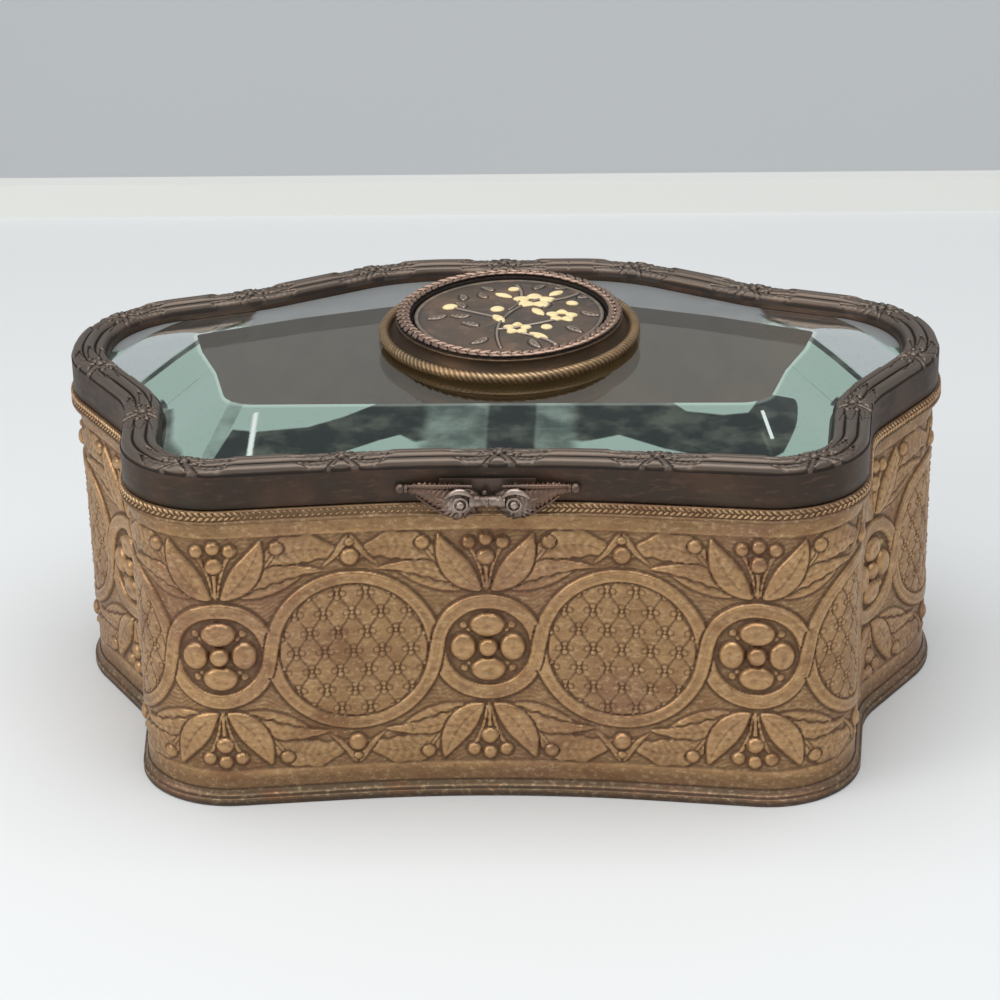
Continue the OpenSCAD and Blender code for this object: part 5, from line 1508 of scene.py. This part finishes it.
def velvet_lining():
    """The velvet on the walls: a little full between its upper and its lower edge."""
    out, face, top = WALL_BACK - 0.06, LINING_OUT, LINING_TOP - 0.5
    levels = np.linspace(0, 1, 26)
    stops = WALL_LINE.stops(620)
    along = stops[:, None]
    wave = 0.06 * np.sin(along * 0.11) * np.sin(3 * levels + 1) + 0.03 * np.sin(along * 0.31 + 5 * levels)
    inner = np.stack([face + (wave - 0.14) * np.sin(np.pi * levels),
                      top - levels * (top - PLATE_TOP) + 0 * along], axis=-1)
    edge = [(out, PLATE_TOP), (out, LINING_TOP), (face + 0.45, LINING_TOP),
            (face + 0.14, LINING_TOP - 0.15)]
    section = np.concatenate([np.broadcast_to(edge, (len(stops), len(edge), 2)), inner], axis=1)
    piece = new_sweep("velvet_lining", "wall_lining", WALL_LINE, stops, section, VELVET)


def velvet_floor():
    """The velvet mat on the floor board: crowned, softly quilted by use, and drawn in at its edge."""
    base, outward = WALL_LINE.at(WALL_LINE.stops(420))
    edge = base + outward * (LINING_OUT - 0.2)
    middle = np.array([0.0, SHIFT_Y])
    share = np.concatenate([np.linspace(1, 0.94, 9)[:-1], np.linspace(0.94, 0.01, 80)])
    rings = middle + share[:, None, None] * (edge - middle)
    x, y = rings[..., 0], rings[..., 1]
    crown = 0.9 * np.sqrt(np.clip(1 - share ** 14, 0, 1))[:, None] - 0.5
    dents = 0.07 * np.sin(x * 0.13 + 2) * np.sin(y * 0.17 + 1) + 0.05 * np.sin(x * 0.31 + y * 0.23)
    height = FLOOR_TOP + crown + dents * (1 - share[:, None] ** 8)
    top = np.concatenate([rings, height[..., None]], axis=-1)
    foot = raised(edge, PLATE_TOP)[None]
    loops = np.concatenate([foot, top])[:, ::-1]
    piece = new_piece("velvet_floor", "floor_board", *closed_loft(loops), VELVET)


velvet_lining()
velvet_floor()
twisted_cord("velvet_edge_cord", "floor_board", WALL_LINE, LINING_OUT - CORD_R - 0.2,
             FLOOR_TOP + CORD_R + 0.25, CORD_R, 1.9, 1, VELVET)

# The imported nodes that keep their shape
KEPT_FINISHES = {
    "base_plate": BASE_BRASS, "hinge_leaf_case": HINGE_BRASS, "hinge_pin": HINGE_BRASS,
    "hinge_rivets_case": HINGE_BRASS, "glass_retainer": INNER_BRASS, "retainer_tabs": INNER_BRASS,
    "lift_rivets": LIFT_BRONZE, "hinge_leaf_lid": HINGE_BRASS, "hinge_rivets_lid": HINGE_BRASS,
    "medallion_stud": STUD_BRASS, "medallion_washer": STUD_BRASS, "medallion_nut": STUD_BRASS}
for node_name, finish in KEPT_FINISHES.items():
    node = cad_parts[node_name]
    if not node.material_slots:
        node.data.materials.append(finish)
    for place in node.material_slots:
        place.material = finish


# The table, the wall far behind it, the light and the camera
def stage_finish(name, colour):
    """Matt paint that is a little darker towards the back, with a faint cloud in it."""
    def build(nodes, place):
        cloud = nodes.noise(place, 3, 2)
        away = nodes.add("ShaderNodeSeparateXYZ", None, {"Vector": place})["Y"].between(-0.12, 0.2)
        tone = nodes.mix(away, colour, tuple(0.88 * c for c in colour))
        return {"Base Color": nodes.mix(cloud * 0.5, tone, tuple(0.93 * c for c in colour))}
    return material(name, build, Roughness=0.7)


TABLE_END = 0.309
LEDGE_TOP = 0.0095
WALL_AWAY = 2.2
BACKDROP_HALF = 4


def stage_strip(name, section, colour):
    """A wide strip of floor or wall, from (y, z) points in metres."""
    points = [(x, y, z - 0.00005) for y, z in section for x in (-BACKDROP_HALF, BACKDROP_HALF)]
    mesh = bpy.data.meshes.new(name)
    faces = [(2 * k, 2 * k + 1, 2 * k + 3, 2 * k + 2) for k in range(len(section) - 1)]
    mesh.from_pydata(points, [], faces)
    mesh.materials.append(stage_finish(name + "_paint", colour))
    in_scene(bpy.data.objects.new(name, mesh))


def backdrop():
    """A pale table, a low ledge along its far end, and a blue-grey wall well behind it."""
    stage_strip("table", [(-BACKDROP_HALF, 0), (TABLE_END, 0)], srgb(224, 226, 226))
    stage_strip("ledge", [(TABLE_END, 0), (TABLE_END + 0.004, LEDGE_TOP), (TABLE_END + 0.012, LEDGE_TOP)],
                srgb(226, 227, 222))
    stage_strip("back_wall", [(WALL_AWAY, -BACKDROP_HALF / 2), (WALL_AWAY, BACKDROP_HALF)],
                srgb(247, 250, 250))


def area_lamp(name, at, towards, size, power, colour=(1, 1, 1)):
    """A soft square lamp that faces a place."""
    data = bpy.data.lights.new(name, "AREA")
    data.shape = "RECTANGLE"
    data.size, data.size_y = size
    data.energy = power
    data.color = colour
    lamp = in_scene(bpy.data.objects.new(name, data))
    lamp.location = at
    lamp.rotation_euler = (Vector(towards) - Vector(at)).to_track_quat("-Z", "Y").to_euler()


def studio_light():
    """A large lamp overhead, a small warm one from the left, and a cool pale room."""
    area_lamp("lamp_top", (0.0, -0.1, 0.9), (0, 0, 0), (1.0, 0.8), 7)
    area_lamp("lamp_left", (-0.9, -0.5, 0.6), (0, 0, 0.04), (0.5, 0.5), 3, (1, 0.97, 0.93))
    world = bpy.data.worlds.new("studio")
    world.use_nodes = True
    background = world.node_tree.nodes["Background"]
    background.inputs["Color"].default_value = (0.93, 0.96, 1, 1)
    background.inputs["Strength"].default_value = 0.55
    bpy.context.scene.world = world


# The camera, as fitted to the photograph
SENSOR_WIDTH = 36
FOCAL_SHARE = 2.79504
CAMERA_AT = (24.7, -534.57, 275.2)
CAMERA_FORWARD = (-0.043935, 0.913297, -0.404917)
CAMERA_UP = (0.002833, 0.405421, 0.914126)


def photograph_camera():
    """A camera where the photograph was taken from."""
    data = bpy.data.cameras.new("camera")
    data.sensor_width = SENSOR_WIDTH
    data.lens = SENSOR_WIDTH * FOCAL_SHARE
    data.clip_start = 0.01
    back = -Vector(CAMERA_FORWARD).normalized()
    right = Vector(CAMERA_UP).cross(back).normalized()
    turned = Matrix((right, back.cross(right), back)).transposed()
    camera = in_scene(bpy.data.objects.new("camera", data))
    camera.matrix_world = Matrix.Translation(Vector(CAMERA_AT) * MM) @ turned.to_4x4()
    bpy.context.scene.camera = camera


backdrop()
studio_light()
photograph_camera()
bpy.context.scene.view_settings.view_transform = "Standard"
